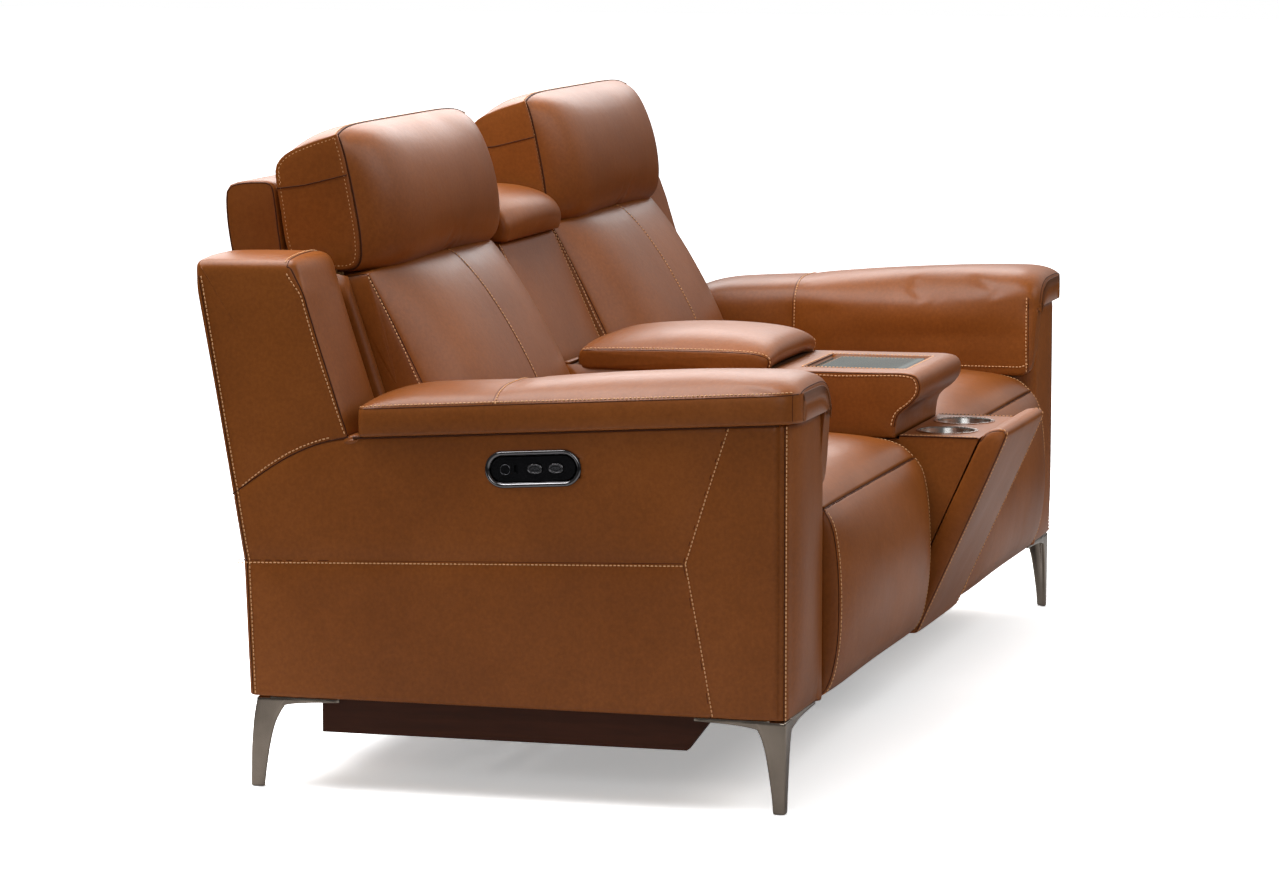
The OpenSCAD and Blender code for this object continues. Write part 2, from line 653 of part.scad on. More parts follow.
// The shell's inner rear face at a height
function shell_in(z) = mix(846, 902, (z - 443) / 323) - shell_t - 0.2;
module back_frame() {
    x1 = plate_x - plate_t - 3;
    x0 = x1 - ply;
    brace = 16;
    color(WOOD) {
        both() span(x0, x1) polygon([[700, 330], [766, 336], [800, 560], [832, 745], [822, 800],
            [806, 800], [790, 745], cushion_top + [1, 0], cushion_low + [1, 0], [660, 345]]);
        span(-x0, x0) polygon([[812, 690], [826, 690], [834, 745], [816, 745]]);
        span(-x0, x0) polygon([[655, 420], [672, 420], [706, 520], [689, 520]]);
        span(-x0, x0) polygon([[785, 560], [shell_in(560), 560], [shell_in(576), 576], [788, 576]]);
    }
    color(STEEL) {
        both() rod(hinge, pivot_r, x1 - 2, plate_x + 1);
        rod(hinge, 12, -x0, x0);
        span(lever_x - 3, lever_x + 3) {
            translate(lever) circle(r = 9);
            translate(hinge) rotate(-90 + recline_a / 2) translate([0, -8]) square([lever_r, 16]);
        }
        rod(lever, 5, lever_x - 9, lever_x + 9);
        for (s = [-1, 1]) translate([s * stay_x, 0, 0]) {
            side = s > 0 ? stay_t / 2 + 1 : -stay_t / 2 - 1 - 4;
            span(side, side + 4) polygon([[776, 694], [813, 690], [817, 745], [809, 762], [777, 762]]);
            for (a = pin_angles) rod(stay_c + stay_r * [cos(a), sin(a)], 4,
                s > 0 ? -stay_t / 2 : side, s > 0 ? side + 4 : stay_t / 2);
        }
    }
}
stay_x = 200;
stay_t = 5;
module left_back_frame() place() left_seat() back_frame();
module right_back_frame() place() right_seat() back_frame();

// Headrest bracket: two curved slotted stays under a cross plate on the headrest's rear face
rest_rear_low = [750, 753];
rest_rear_top = [840, 926];
rest_face = (rest_rear_top - rest_rear_low) / norm(rest_rear_top - rest_rear_low);
rest_out = [rest_face[1], -rest_face[0]];
module headrest_bracket() {
    slot_w = 4.3;
    low = pin_angles[0] - headrest_a - 2;
    high = pin_angles[1] + 2;
    for (s = [-1, 1]) translate([s * stay_x, 0, 0]) span(-stay_t / 2, stay_t / 2) {
        difference() {
            polygon(concat(arc(stay_c, stay_r + 11, low - 4, high + 4, 12),
                arc(stay_c, stay_r - 11, high + 4, low - 4, 12)));
            polygon(concat(arc(stay_c, stay_r + slot_w, low, high, 24),
                arc(stay_c, stay_r - slot_w, high, low, 24)));
        }
        polygon(concat(arc(stay_c, stay_r + 11, high + 4, high + 3, 1),
            arc(stay_c, stay_r - 11, high + 3, high + 4, 1),
            [rest_rear_low + rest_face * 40 + rest_out * 0.5, rest_rear_low + rest_face * 96 + rest_out * 0.5,
             rest_rear_low + rest_face * 96 + rest_out * 8, rest_rear_low + rest_face * 50 + rest_out * 20]));
    }
    span(-stay_x - 30, stay_x + 30) polygon([rest_rear_low + rest_face * 52 + rest_out * 0.2,
        rest_rear_low + rest_face * 96 + rest_out * 0.2, rest_rear_low + rest_face * 96 + rest_out * 3,
        rest_rear_low + rest_face * 52 + rest_out * 3]);
}
module left_headrest_bracket() color(STEEL) place() left_seat() headrest_bracket();
module right_headrest_bracket() color(STEEL) place() right_seat() headrest_bracket();

module headrest_cushion() {
    lift = headrest_z - 966;
    rise = [0, lift];
    edge = [[716, 757], rest_rear_low, rest_rear_low, rest_rear_top + rise, rest_rear_top + rise - [10, -12],
        [790, 952 + lift], [744, 962 + lift], [732, 940 + lift], [722, 860], [712, 790]];
    mid = [[700, 753], rest_rear_low, rest_rear_low, rest_rear_top + rise, rest_rear_top + rise - [10, -16],
        [796, 966 + lift], [748, 974 + lift], [700, 955 + lift], [676, 860], [674, 775]];
    padded(edge, mid, -seat_w / 2, seat_w / 2, 14, 14, 8, 2);
}
module left_headrest_cushion() color(LEATHER) place() left_seat() headrest_cushion();
module right_headrest_cushion() color(LEATHER) place() right_seat() headrest_cushion();

module back_cushion() {
    edge = [[572, 412], cushion_low, cushion_low, cushion_top, cushion_top, [704, 745], [668, 690], [620, 594],
        [574, 500], [556, 450]];
    mid = [[568, 412], cushion_low, cushion_low, cushion_top, cushion_top, [676, 748], [628, 700],
        [556, 596], [520, 520], [530, 468]];
    padded(edge, mid, -seat_w / 2, seat_w / 2, 10, 10, 8);
}
module left_back_cushion() color(LEATHER) place() left_seat() back_cushion();
module right_back_cushion() color(LEATHER) place() right_seat() back_cushion();

// Outer back shell: a tray open to the front whose lower edge turns on an arc about the hinge
shell_arc = 122;
module back_shell() {
    round_r = 16;
    low = arc(hinge, shell_arc, -46, -24, 4);
    outer = concat([[770, 300]], low, [[846, 443], [902, 766]],
        arc([shell_rear_y - round_r, shell_z - round_r], round_r, -8, 90, 4),
        arc([852 + round_r, shell_z - round_r], round_r, 90, 180, 3), [[838, 765], [808, 560]]);
    inset = shell_t;
    cavity = concat([[760, 290]], arc(hinge, shell_arc - inset, -52, -24, 4), [[846 - inset, 443],
        [902 - inset, 766], [shell_rear_y - inset - 3, shell_z - inset], [840, shell_z - inset],
        [820, 765], [790, 560]]);
    wall = 2.5;
    difference() {
        span(-seat_w / 2, seat_w / 2) polygon(outer);
        span(-seat_w / 2 + wall, seat_w / 2 - wall) polygon(cavity);
    }
}
module left_back_shell() color(DARK_LEATHER) place() left_seat() back_shell();
module right_back_shell() color(DARK_LEATHER) place() right_seat() back_shell();

// Lower rear panel between the arms
module rear_panel() color(LEATHER) place() {
    w = apron_x + 2;
    t = 15;
    bracket = 40;
    from = rear_rail_y + rail_w;
    translate([-w, body_d - t, under_z]) cube([2 * w, t, 118]);
    for (x = [-w + 60, -w / 8, w / 8 - bracket, w - 60 - bracket]) translate([x, from, 0]) {
        translate([0, 0, rail_z]) cube([bracket, 5, under_z - rail_z]);
        translate([0, 0, under_z]) cube([bracket, body_d - t - from, 5]);
    }
}

// Console box with the storage tub
console_front = 45;
box_wall = 12;
storage_y0 = 262;
storage_y1 = 538;
box_rear = 590;
ledge_z = 300;
rim_z = nose_z - 2;
module console_carcass() color(WOOD) place() {
    w = console_w / 2 - 3;
    rear = rear_rail_y + rail_w;
    floor_z = rim_z - storage_depth;
    difference() {
        span(-w, w) polygon([[console_front, rail_top], [rear, rail_top], [rear, ledge_z],
            [box_rear, ledge_z], [box_rear, rim_z], [240, rim_z], [240, tray_z - 5],
            [console_front, tray_z - 5]]);
        translate([-w + box_wall, console_front + box_wall, rail_top - 1])
            cube([2 * (w - box_wall), rear - console_front - 2 * box_wall,
                min(floor_z, ledge_z) - box_wall - rail_top + 1]);
        translate([-w + box_wall, console_front + box_wall, floor_z - box_wall - 1])
            cube([2 * (w - box_wall), storage_y0 - 2 * box_wall - console_front, tray_z - 5 - box_wall - floor_z + box_wall + 1]);
        translate([-w + box_wall, storage_y0, floor_z])
            cube([2 * (w - box_wall), storage_y1 - storage_y0, storage_depth + 1]);
    }
    both() for (x = [30, 92]) hinge_barrel(x, x + 28, 0);
    rod(lid_axis, 2.5, -120, 120);
}
lid_axis = [566, nose_z + 7];
module hinge_barrel(x0, x1, lid) {
    rod(lid_axis, 5, x0, x1);
    if (lid == 0) translate([x0, lid_axis[0] - 4, rim_z]) cube([x1 - x0, 8, lid_axis[1] - rim_z]);
}

// Waterfall middle section with a sunk glass plate
glass_y0 = 34;
glass_y1 = 192;
glass_w = 190;
module console_nose() color(LEATHER) place() {
    z = nose_z;
    t = tray_z - 5;
    rear = 239;
    outline = cut_corners([[34, t], [34, t], [rear, t], [rear, t], [rear, z], [rear, z], [40, z + 1], [2, z],
        [-8, z - 26], [8, z - 48], [30, z - 66], [28, z - 84]], 2);
    sunk = 12;
    difference() {
        span(-console_w / 2, console_w / 2) polygon(outline);
        translate([-glass_w / 2 - run, glass_y0 - run, z - sunk])
            cube([glass_w + 2 * run, glass_y1 - glass_y0 + 2 * run, sunk + 2]);
    }
}
module console_glass() color("darkslategray", 0.9) place()
    translate([-glass_w / 2, glass_y0, nose_z - 12]) cube([glass_w, glass_y1 - glass_y0, 6]);

// Cup tray over a tapering wedge behind the slanted front board
front_line = [[board_top_y, 460], [-3, under_z - 7]];
function board_rear(z) = mix(front_line[0][0], front_line[1][0],
    (front_line[0][1] - z) / (front_line[0][1] - front_line[1][1])) + board_t;
cup_y = -33;
module console_tray() color(LEATHER) place() {
    w = console_w / 2 - 6;
    t = 14;
    side = 10;
    low = 150;
    tray_rear = 27;
    difference() {
        union() {
            span(-w, w) polygon([[board_rear(tray_z), tray_z], [board_rear(tray_z - t), tray_z - t],
                [tray_rear, tray_z - t], [tray_rear, tray_z]]);
            both() span(-w, -w + side) polygon([[board_rear(tray_z), tray_z],
                [board_rear(low), low], [console_front, low], [console_front, tray_z - 6],
                [tray_rear, tray_z - 6], [tray_rear, tray_z]]);
        }
        for (s = [-1, 1]) translate([s * cup_pitch / 2, cup_y, tray_z - t - 1])
            cylinder(h = t + 2, r = cup_r + 1 + 0.05);
    }
}
module cup_holders() color(METAL) place() for (s = [-1, 1]) translate([s * cup_pitch / 2, cup_y, 0]) {
    wall = 1;
    difference() {
        union() {
            translate([0, 0, tray_z]) cylinder(h = 1.5, r = cup_r + 5.5);
            translate([0, 0, tray_z - cup_depth]) cylinder(h = cup_depth, r1 = cup_base_r + wall,
                r2 = cup_r + wall);
        }
        translate([0, 0, tray_z - cup_depth + wall]) cylinder(h = cup_depth - wall, r1 = cup_base_r,
            r2 = cup_r);
        translate([0, 0, tray_z - 1]) cylinder(h = 5, r = cup_r);
    }
}
module console_front_board() color(LEATHER) place() {
    top_r = 12;
    top = front_line[0];
    low = front_line[1];
    span(-console_w / 2 + 3, console_w / 2 - 3) polygon(concat([low, low + [board_t, 0]],
        [[board_rear(top[1] - 14), top[1] - 14]],
        arc([top[0] + board_t - 6 - top_r, top[1] + 5 - top_r], top_r, 10, 90, 4),
        arc([top[0] + top_r + 1, top[1] + 5 - top_r], top_r, 90, 190, 4)));
}

// Console back between the two seats: a slanted panel under a soft roll
back_half = console_w / 2 - 3;
roll_z = 744;
module console_back() color(LEATHER) place() span(-back_half, back_half)
    polygon([[box_rear + 1, ledge_z], [826, ledge_z], [842, 443], [898, roll_z], [694, roll_z],
        [612, 560], [box_rear + 1, 512]]);
module console_roll() color(LEATHER) place() {
    z = roll_z + 0.2;
    roll = [[672, z], [672, z], [862, z], [862, z], [868, 790], [846, 828], [760, 836], [694, 818],
        [666, 780]];
    swell = [[672, z], [672, z], [862, z], [862, z], [872, 790], [850, 834], [760, 846], [684, 826],
        [654, 780]];
    padded(roll, swell, -back_half, back_half, 6, 6, 5);
}

// Console lid: crowned pad on barrel hinges at its rear
module console_lid() {
    w = console_w / 2 + 1;
    z = nose_z + 2;
    front = 238;
    rear = 554;
    edge = [[front + 8, z], [front + 8, z], [rear, z], [rear, z], [rear, z + 28], [rear - 12, z + 36],
        [400, z + 40], [290, z + 35], [front, z + 20]];
    mid = [[front + 8, z], [front + 8, z], [rear, z], [rear, z], [rear, z + 34], [rear - 14, z + 46],
        [400, z + 52], [290, z + 44], [front - 4, z + 20]];
    color(LEATHER) place() padded(edge, mid, -w, w, 6, 6, 6);
    color(STEEL) place() both() difference() {
        union() {
            rod(lid_axis, 5, 60, 90);
            translate([60, rear - 2, z + 1]) cube([30, lid_axis[0] - rear + 2, 3]);
        }
        rod(lid_axis, 2.6, 50, 100);
    }
}

// Control panel in each arm: bevelled rim, face, round button and two rockers
button_at = 42;
socket_at = 26;
rocker_at = [-3, -35];
rocker_l = 22;
rocker_h = 13;
socket_w = 5.6;
socket_h = 12.5;
module control_bezel() at_controls(-half_w - 5, -half_w) difference() {
    stadium(bezel_l, bezel_h);
    stadium(face_l + 2, face_h + 2);
}
module control_bezels() color(METAL) place() both() control_bezel();
module control_face() {
    gap = 0.8;
    at_controls(-half_w - 1, -half_w + 4) difference() {
        stadium(face_l, face_h);
        translate([button_at, 0]) circle(d = button_d + run);
        for (y = rocker_at) translate([y, 0]) stadium(rocker_l + 2 * gap, rocker_h + 2 * gap);
        translate([socket_at, 0]) square([socket_w, socket_h], center = true);
    }
    at_controls(-half_w + 4, -half_w + pocket) difference() {
        stadium(face_l, face_h);
        translate([button_at, 0]) circle(d = button_d + run);
        for (y = rocker_at) translate([y, 0]) stadium(rocker_l + 2 * gap, rocker_h + 2 * gap);
    }
}
module control_faces() color("black") place() both() control_face();
module power_button() at_controls(-half_w - 3, -half_w + pocket - 4)
    translate([button_at, 0]) circle(d = button_d);
module left_power_button() color("black") place() power_button();
module right_power_button() color("black") place() mirror([1, 0, 0]) power_button();
module rocker(y) at_controls(-half_w - 3.5, -half_w + 8) translate([y, 0]) stadium(rocker_l, rocker_h);
module left_recline_rocker() color(METAL) place() rocker(rocker_at[0]);
module right_recline_rocker() color(METAL) place() mirror([1, 0, 0]) rocker(rocker_at[0]);
module left_headrest_rocker() color(METAL) place() rocker(rocker_at[1]);
module right_headrest_rocker() color(METAL) place() mirror([1, 0, 0]) rocker(rocker_at[1]);

left_outer_panel();
right_outer_panel();
left_wing_pad();
right_wing_pad();
left_arm_pad();
right_arm_pad();
arm_inner_panels();
arm_frames();
legs();
base_rails();
cross_rails();
rear_panel();
side_plates();
control_bezels();
control_faces();
console_carcass();
console_nose();
console_glass();
console_tray();
cup_holders();
console_front_board();
console_back();
console_roll();
seat_frames();
left_seat_cushion();
right_seat_cushion();
recline_motors();
console_lid();
left_power_button();
right_power_button();
left_recline_rocker();
right_recline_rocker();
left_headrest_rocker();
right_headrest_rocker();
left_rear_lift_link();
right_rear_lift_link();
left_rear_cross_link();
right_rear_cross_link();
left_front_lift_link();
right_front_lift_link();
left_front_cross_link();
right_front_cross_link();
left_guide_link();
right_guide_link();
left_footrest_board();
right_footrest_board();
left_footrest_pad();
right_footrest_pad();
left_drive_carriage();
right_drive_carriage();
left_back_frame();
right_back_frame();
left_back_cushion();
right_back_cushion();
left_back_shell();
right_back_shell();
left_headrest_bracket();
right_headrest_bracket();
left_headrest_cushion();
right_headrest_cushion();
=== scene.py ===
"""Looks of the two-seat power reclining sofa: leather, stitching, metal, floor, light and camera.

Places are written as (distance from the arms' front plane, height) in millimetres, as in the
part's source, and side() turns them into the row frame in metres.
"""
import json
import math
import bpy
import numpy as np
from mathutils import Matrix, Vector
from mathutils.bvhtree import BVHTree


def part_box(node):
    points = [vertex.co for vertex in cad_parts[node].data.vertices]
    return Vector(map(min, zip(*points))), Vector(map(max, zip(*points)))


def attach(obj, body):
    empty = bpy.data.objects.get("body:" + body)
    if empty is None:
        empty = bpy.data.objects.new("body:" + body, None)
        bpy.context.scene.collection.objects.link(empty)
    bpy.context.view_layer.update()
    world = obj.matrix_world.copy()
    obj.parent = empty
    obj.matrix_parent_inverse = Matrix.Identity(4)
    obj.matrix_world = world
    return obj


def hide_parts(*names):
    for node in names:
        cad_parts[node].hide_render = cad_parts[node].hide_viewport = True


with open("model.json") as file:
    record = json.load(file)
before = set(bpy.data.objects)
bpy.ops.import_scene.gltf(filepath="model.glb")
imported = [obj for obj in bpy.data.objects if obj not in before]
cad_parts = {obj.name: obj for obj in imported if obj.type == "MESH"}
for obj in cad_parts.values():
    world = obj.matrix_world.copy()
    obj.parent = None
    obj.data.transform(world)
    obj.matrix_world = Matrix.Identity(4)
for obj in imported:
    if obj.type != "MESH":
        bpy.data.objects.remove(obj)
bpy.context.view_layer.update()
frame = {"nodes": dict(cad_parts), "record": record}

MM = 0.001
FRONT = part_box("left_outer_panel")[0].y
HALF_W = -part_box("left_outer_panel")[0].x
X0, X1 = (corner.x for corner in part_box("left_seat_cushion"))
SEAT_X = (X0 + X1) / 2
CELL = 0.009  # usual distance between two points of a cover


def side(*points):
    """Points given as (from the front, height) in mm, as rows of (y, z) in metres. A point
    with 2 as its third number comes twice, which makes a sharp corner."""
    rows = [p[:2] for p in points for _ in range(p[2] if len(p) > 2 else 1)]
    return np.array(rows, float) * MM + (FRONT, 0)


def fade(t):
    """Smooth step from 0 to 1."""
    t = np.clip(t, 0, 1)
    return t * t * (3 - 2 * t)


def even(r):
    """The same radius r at every place of an outline."""
    return lambda p: np.full(len(p), r)


def unit(v):
    """Rows of v at length 1."""
    return v / np.maximum(np.linalg.norm(v, axis=-1, keepdims=True), 1e-9)


# ---------------------------------------------------------------- meshes from grids

def closed_curve(points, u):
    """Quadratic spline round a closed polygon: half a square, a dome and half a square of the
    place between two middles of its sides weigh a corner and its two neighbours. A corner
    given twice stays sharp, at its first number plus one half."""
    n = len(points)
    i = np.floor(u + 0.5).astype(int)
    t = (u + 0.5 - i)[:, None]
    before, here, after = points[(i - 1) % n], points[i % n], points[(i + 1) % n]
    return 0.5 * (1 - t) ** 2 * before + (0.5 + t - t * t) * here + 0.5 * t * t * after


def even_steps(points, marks, cell):
    """Numbers round the curve, evenly spaced along its length, that hit every mark."""
    fine = np.linspace(0, len(points), 1601)
    line = closed_curve(points, fine)
    length = np.concatenate([[0], np.cumsum(np.linalg.norm(np.diff(line, axis=0), axis=1))])
    marks = sorted(m % len(points) for m in marks) or [0.0]
    out, places = [], {}
    for k, a in enumerate(marks):
        b = marks[(k + 1) % len(marks)] + (len(points) if k == len(marks) - 1 else 0)
        la = np.interp(a, fine, length)
        lb = np.interp(b % len(points), fine, length) + (length[-1] if b >= len(points) else 0)
        steps = max(1, int(round((lb - la) / cell)))
        places[a] = len(out)
        s = (la + (lb - la) * np.arange(steps) / steps) % length[-1]
        out.extend(np.interp(s, length, fine))
    return np.array(out), places


def grid_faces(m, n):
    """Quads between the rows of an m by n grid, closed round each row."""
    i, j = np.meshgrid(np.arange(m - 1), np.arange(n), indexing="ij")
    k = (j + 1) % n
    return np.stack([i * n + j, i * n + k, (i + 1) * n + k, (i + 1) * n + j], -1).reshape(-1, 4)


def mesh_object(name, co, faces):
    mesh = bpy.data.meshes.new(name)
    mesh.from_pydata(co.reshape(-1, 3).tolist(), [], [list(f) for f in faces])
    mesh.update()
    mesh.shade_smooth()
    o = bpy.data.objects.new(name, mesh)
    bpy.context.collection.objects.link(o)
    return o


def shut(name, rings):
    """Closed skin over rings (m, n, 3), each a closed loop; the first and last end in a fan."""
    m, n = rings.shape[:2]
    co = np.concatenate([rings.reshape(-1, 3), rings[:1].mean(1), rings[-1:].mean(1)])
    faces = grid_faces(m, n).tolist()
    j = np.arange(n)
    k = (j + 1) % n
    faces += np.stack([np.full(n, m * n), k, j], -1).tolist()
    faces += np.stack([np.full(n, m * n + 1), (m - 1) * n + j, (m - 1) * n + k], -1).tolist()
    a, b, c = (co[np.array([f[q] for f in faces])] for q in (0, 1, 2))
    if np.einsum("ij,ij->i", a, np.cross(b, c)).sum() < 0:
        faces = [f[::-1] for f in faces]
    return mesh_object(name, co, faces)


def coordinates(mesh):
    co = np.empty(len(mesh.vertices) * 3, np.float32)
    mesh.vertices.foreach_get("co", co)
    return co.reshape(-1, 3).astype(float)


def points_of(o):
    return coordinates(o.data)


def set_points(o, co):
    o.data.vertices.foreach_set("co", co.astype(np.float32).ravel())
    o.data.update()


def turned_out(o):
    """Turns the faces of a closed mesh outward."""
    o.data.calc_loop_triangles()
    k = np.empty(len(o.data.loop_triangles) * 3, np.int32)
    o.data.loop_triangles.foreach_get("vertices", k)
    a, b, c = (points_of(o)[k.reshape(-1, 3)[:, q]] for q in (0, 1, 2))
    if np.einsum("ij,ij->i", a, np.cross(b, c)).sum() < 0:
        o.data.flip_normals()
    return o


def subdivide(o):
    s = o.modifiers.new("Subdivision", "SUBSURF")
    s.levels = s.render_levels = 1
    return o


def mirrored(o, name):
    """The same piece on the other side of the sofa: x turned round, and the faces with it."""
    mesh = o.data.copy()
    mesh.name = name
    mesh.transform(Matrix.Diagonal((-1, 1, 1, 1)))
    mesh.flip_normals()
    out = bpy.data.objects.new(name, mesh)
    bpy.context.collection.objects.link(out)
    if any(mod.type == "SUBSURF" for mod in o.modifiers):
        subdivide(out)
    return out


# ---------------------------------------------------------------- padding

STIFFNESS, BENDING, PRESSURE = 25.0, 2.0, 4.0
FRAMES = 20


def inflate(o, held, cap):
    """Air presses the leather out for a few frames of cloth simulation. Points in held stay on
    their seam, and no point moves further than cap."""
    scene = bpy.context.scene
    rest = points_of(o)
    group = o.vertex_groups.new(name="held")
    group.add(sorted(set(int(i) for i in held)), 1.0, "REPLACE")
    cloth = o.modifiers.new("Cloth", "CLOTH")
    s = cloth.settings
    s.quality = 4
    s.mass = 0.3
    s.tension_stiffness = s.compression_stiffness = STIFFNESS
    s.shear_stiffness = STIFFNESS / 3
    s.bending_stiffness = BENDING
    s.use_pressure = True
    s.uniform_pressure_force = PRESSURE
    s.effector_weights.gravity = 0
    s.vertex_group_mass = "held"
    cloth.point_cache.frame_start = 1
    cloth.point_cache.frame_end = FRAMES
    for f in range(1, FRAMES + 1):
        scene.frame_set(f)
    deps = bpy.context.evaluated_depsgraph_get()
    done = o.evaluated_get(deps)
    move = coordinates(done.to_mesh()) - rest
    done.to_mesh_clear()
    o.modifiers.remove(cloth)
    o.vertex_groups.clear()
    far = np.linalg.norm(move, axis=1, keepdims=True)
    move *= np.minimum(1, cap / np.maximum(far, 1e-9))
    set_points(o, rest + np.nan_to_num(move))
    scene.frame_set(1)


def inward_of(c):
    """Unit directions into a closed outline (n, 2)."""
    d = np.roll(c, -1, 0) - np.roll(c, 1, 0)
    inward = unit(np.stack([-d[:, 1], d[:, 0]], -1))
    return inward if ((c.mean(0) - c) * inward).sum() > 0 else -inward


class Cover:
    """A leather cover over a grid (rows, places, 3), and the paths that seams take on it. Row 0
    is the first row of its body, after the rings that make the first side panel."""

    tree = None

    def __init__(self, name, grid, first=0, rows=None, ladder=False):
        self.grid, self.first, self.n = grid, first, grid.shape[1]
        self.rows = rows or len(grid)
        self.object = laddered(name, grid) if ladder else shut(name, grid)

    def points(self, rows, places):
        """Numbers of the points at these rows and places."""
        return [(self.first + r) * self.n + j % self.n for r in rows for j in places]

    def ends(self):
        """The rows at both ends of the body."""
        return self.points((0, self.rows - 1), range(self.n))

    def band(self, j0, j1):
        """All rows, from place j0 up to, but not with, place j1."""
        return self.points(range(self.rows), range(j0, j1))

    def puff(self, held, cap, low=None, high=None):
        """Simulates the padding, presses the piece flat where it meets its neighbours at
        x = low and x = high, and reads the grid again."""
        inflate(self.object, held, cap)
        co = points_of(self.object)
        if low is not None:
            co[:, 0] = np.clip(co[:, 0], low, high)
            set_points(self.object, co)
            co = points_of(self.object)
        self.grid = co[:self.grid.shape[0] * self.n].reshape(self.grid.shape)

    def end_line(self, row, j0, j1, shift=0.0):
        """Path along one row from place j0 to j1, moved sideways by shift over the rows."""
        return self.path([row] * (j1 - j0 + 1), range(j0, j1 + 1), shift, 0)

    def cross_line(self, j, row0, row1, shift=0.0):
        """Path across the rows at place j, moved sideways by shift round the outline."""
        return self.path(range(row0, row1 + 1), [j] * (row1 - row0 + 1), 0, shift)

    def path(self, rows, places, along, around):
        """Path over the surface, moved by along over the rows and by around the outline."""
        r = np.array(list(rows)) + self.first
        j = np.array(list(places)) % self.n
        p = self.grid[r, j]
        for amount, target in ((along, (r + (1 if along > 0 else -1), j)),
                               (around, (r, (j + (1 if around > 0 else -1)) % self.n))):
            if amount:
                p = p + unit(self.grid[target] - p) * abs(amount)
        return self.laid_on(p)

    def laid_on(self, p):
        """The nearest places on the finished surface, with its normals there."""
        if self.tree is None:
            self.tree = BVHTree.FromObject(self.object, bpy.context.evaluated_depsgraph_get())
        hits = [self.tree.find_nearest(Vector(q)) for q in p]
        return np.array([h[0] for h in hits]), np.array([h[1] for h in hits])

    def sharpen(self, j):
        """Keeps a crease across the rows at place j when the mesh is subdivided."""
        mesh = self.object.data
        ends = np.empty(len(mesh.edges) * 2, np.int32)
        mesh.edges.foreach_get("vertices", ends)
        rows, place = np.divmod(ends.reshape(-1, 2), self.n)
        inside = rows.max(1) < self.first + self.rows
        crossing = (place[:, 0] == place[:, 1]) & (place[:, 0] == j % self.n)
        crease = mesh.attributes.new("crease_edge", "FLOAT", "EDGE")
        crease.data.foreach_set("value", (crossing & inside).astype(np.float32) * 0.85)


class Pad(Cover):
    """Padded body along x. Its side view is one outline at both ends and another at the
    middle, and the crown between them follows 1 - |place|^power. Where round0 or round1 gives
    a radius r for each place, the end turns in by r (1 - sin a) as a falls from 90 degrees to
    0. Smaller and smaller copies of the end ring make the side panel."""

    def __init__(self, name, edge, mid, x0, x1, marks=(), power=3.0, bulge=0.006, cell=CELL,
                 stations=(), rings=7, round0=None, round1=None, top=None):
        u, self.at = even_steps(mid, marks, cell)
        e, c = closed_curve(edge, u), closed_curve(mid, u)
        r0 = round0(e) if round0 else np.zeros(len(u))
        r1 = round1(e) if round1 else np.zeros(len(u))
        steps = max(8, int(round((x1 - x0) / cell)))
        s = (np.array(stations, float) - x0) / (x1 - x0)
        s = np.unique(np.round(np.concatenate([np.linspace(0, 1, steps + 1), s]), 5))
        w = (1 - np.abs(2 * s - 1) ** power)[:, None, None]
        outline = e + (c - e) * w
        inward = inward_of(e)
        x = (x0 + r0) + (x1 - r1 - x0 - r0) * s[:, None]
        rows = [np.concatenate([x[:, :, None], outline], -1)]
        turns = np.radians([0, 22.5, 45, 67.5])[:, None]

        def turned(r, x_end, out):
            ring = e + inward * (r * (1 - np.sin(turns)))[:, :, None]
            return np.concatenate([(x_end + out * r * (1 - np.cos(turns)))[:, :, None], ring], -1)
        if round0:
            rows.insert(0, turned(r0, x0, 1))
        if round1:
            rows.append(turned(r1, x1, -1)[::-1])
        body = np.concatenate(rows)
        if top:
            body = top(body)
        q = np.linspace(0, 1, rings + 1)[1:, None, None] ** 0.8 * 0.93
        ends = []
        for ring, out in ((body[0], -1), (body[-1], 1)):
            middle = ring.mean(0)
            panel = ring + (middle - ring) * q
            panel[:, :, 0] = ring[:, 0] + out * bulge * (1 - (1 - q[:, :, 0]) ** 2)
            ends.append(panel)
        self.s = s
        Cover.__init__(self, name, np.concatenate([ends[0][::-1], body, ends[1]]), rings, len(body))


def laddered(name, rings):
    """Closed skin over rings (m, 2k, 3) whose point j stands opposite point 2k - 1 - j. Each
    end is closed by a ladder of quads between the two halves."""
    m, n = rings.shape[:2]
    faces = grid_faces(m, n).tolist()
    k = np.arange(n // 2 - 1)
    rung = np.stack([k, k + 1, n - 2 - k, n - 1 - k], -1)
    faces += rung.tolist() + (rung[:, ::-1] + (m - 1) * n).tolist()
    co = rings.reshape(-1, 3)
    f = np.array(faces)
    volume = sum(np.einsum("ij,ij->i", co[f[:, 0]], np.cross(co[f[:, i]], co[f[:, i + 1]])).sum()
                 for i in (1, 2))
    if volume < 0:
        faces = f[:, ::-1].tolist()
    return mesh_object(name, co, faces)


# ---------------------------------------------------------------- seams and stitches

def resample(p, n, pitch):
    """Points every pitch along a path, with their normals and directions."""
    seg = np.linalg.norm(np.diff(p, axis=0), axis=1)
    s = np.concatenate([[0], np.cumsum(seg)])
    count = max(2, int(s[-1] / pitch))
    at = (np.arange(count) + 0.5) * s[-1] / count
    pick = lambda v, t: np.stack([np.interp(t, s, v[:, k]) for k in range(3)], -1)
    return pick(p, at), unit(pick(n, at)), unit(pick(p, at + 0.001) - pick(p, at - 0.001))


threads, shade_cords = {}, {}
HEXAGON = np.linspace(0, 2 * math.pi, 6, endpoint=False)
COS_6, SIN_6 = np.cos(HEXAGON)[:, None], np.sin(HEXAGON)[:, None]
STITCH_PITCH, STITCH_LENGTH, STITCH_R, STITCH_LIFT = 0.0062, 0.0043, 0.00092, 0.0006
CORD_STEP = 0.006


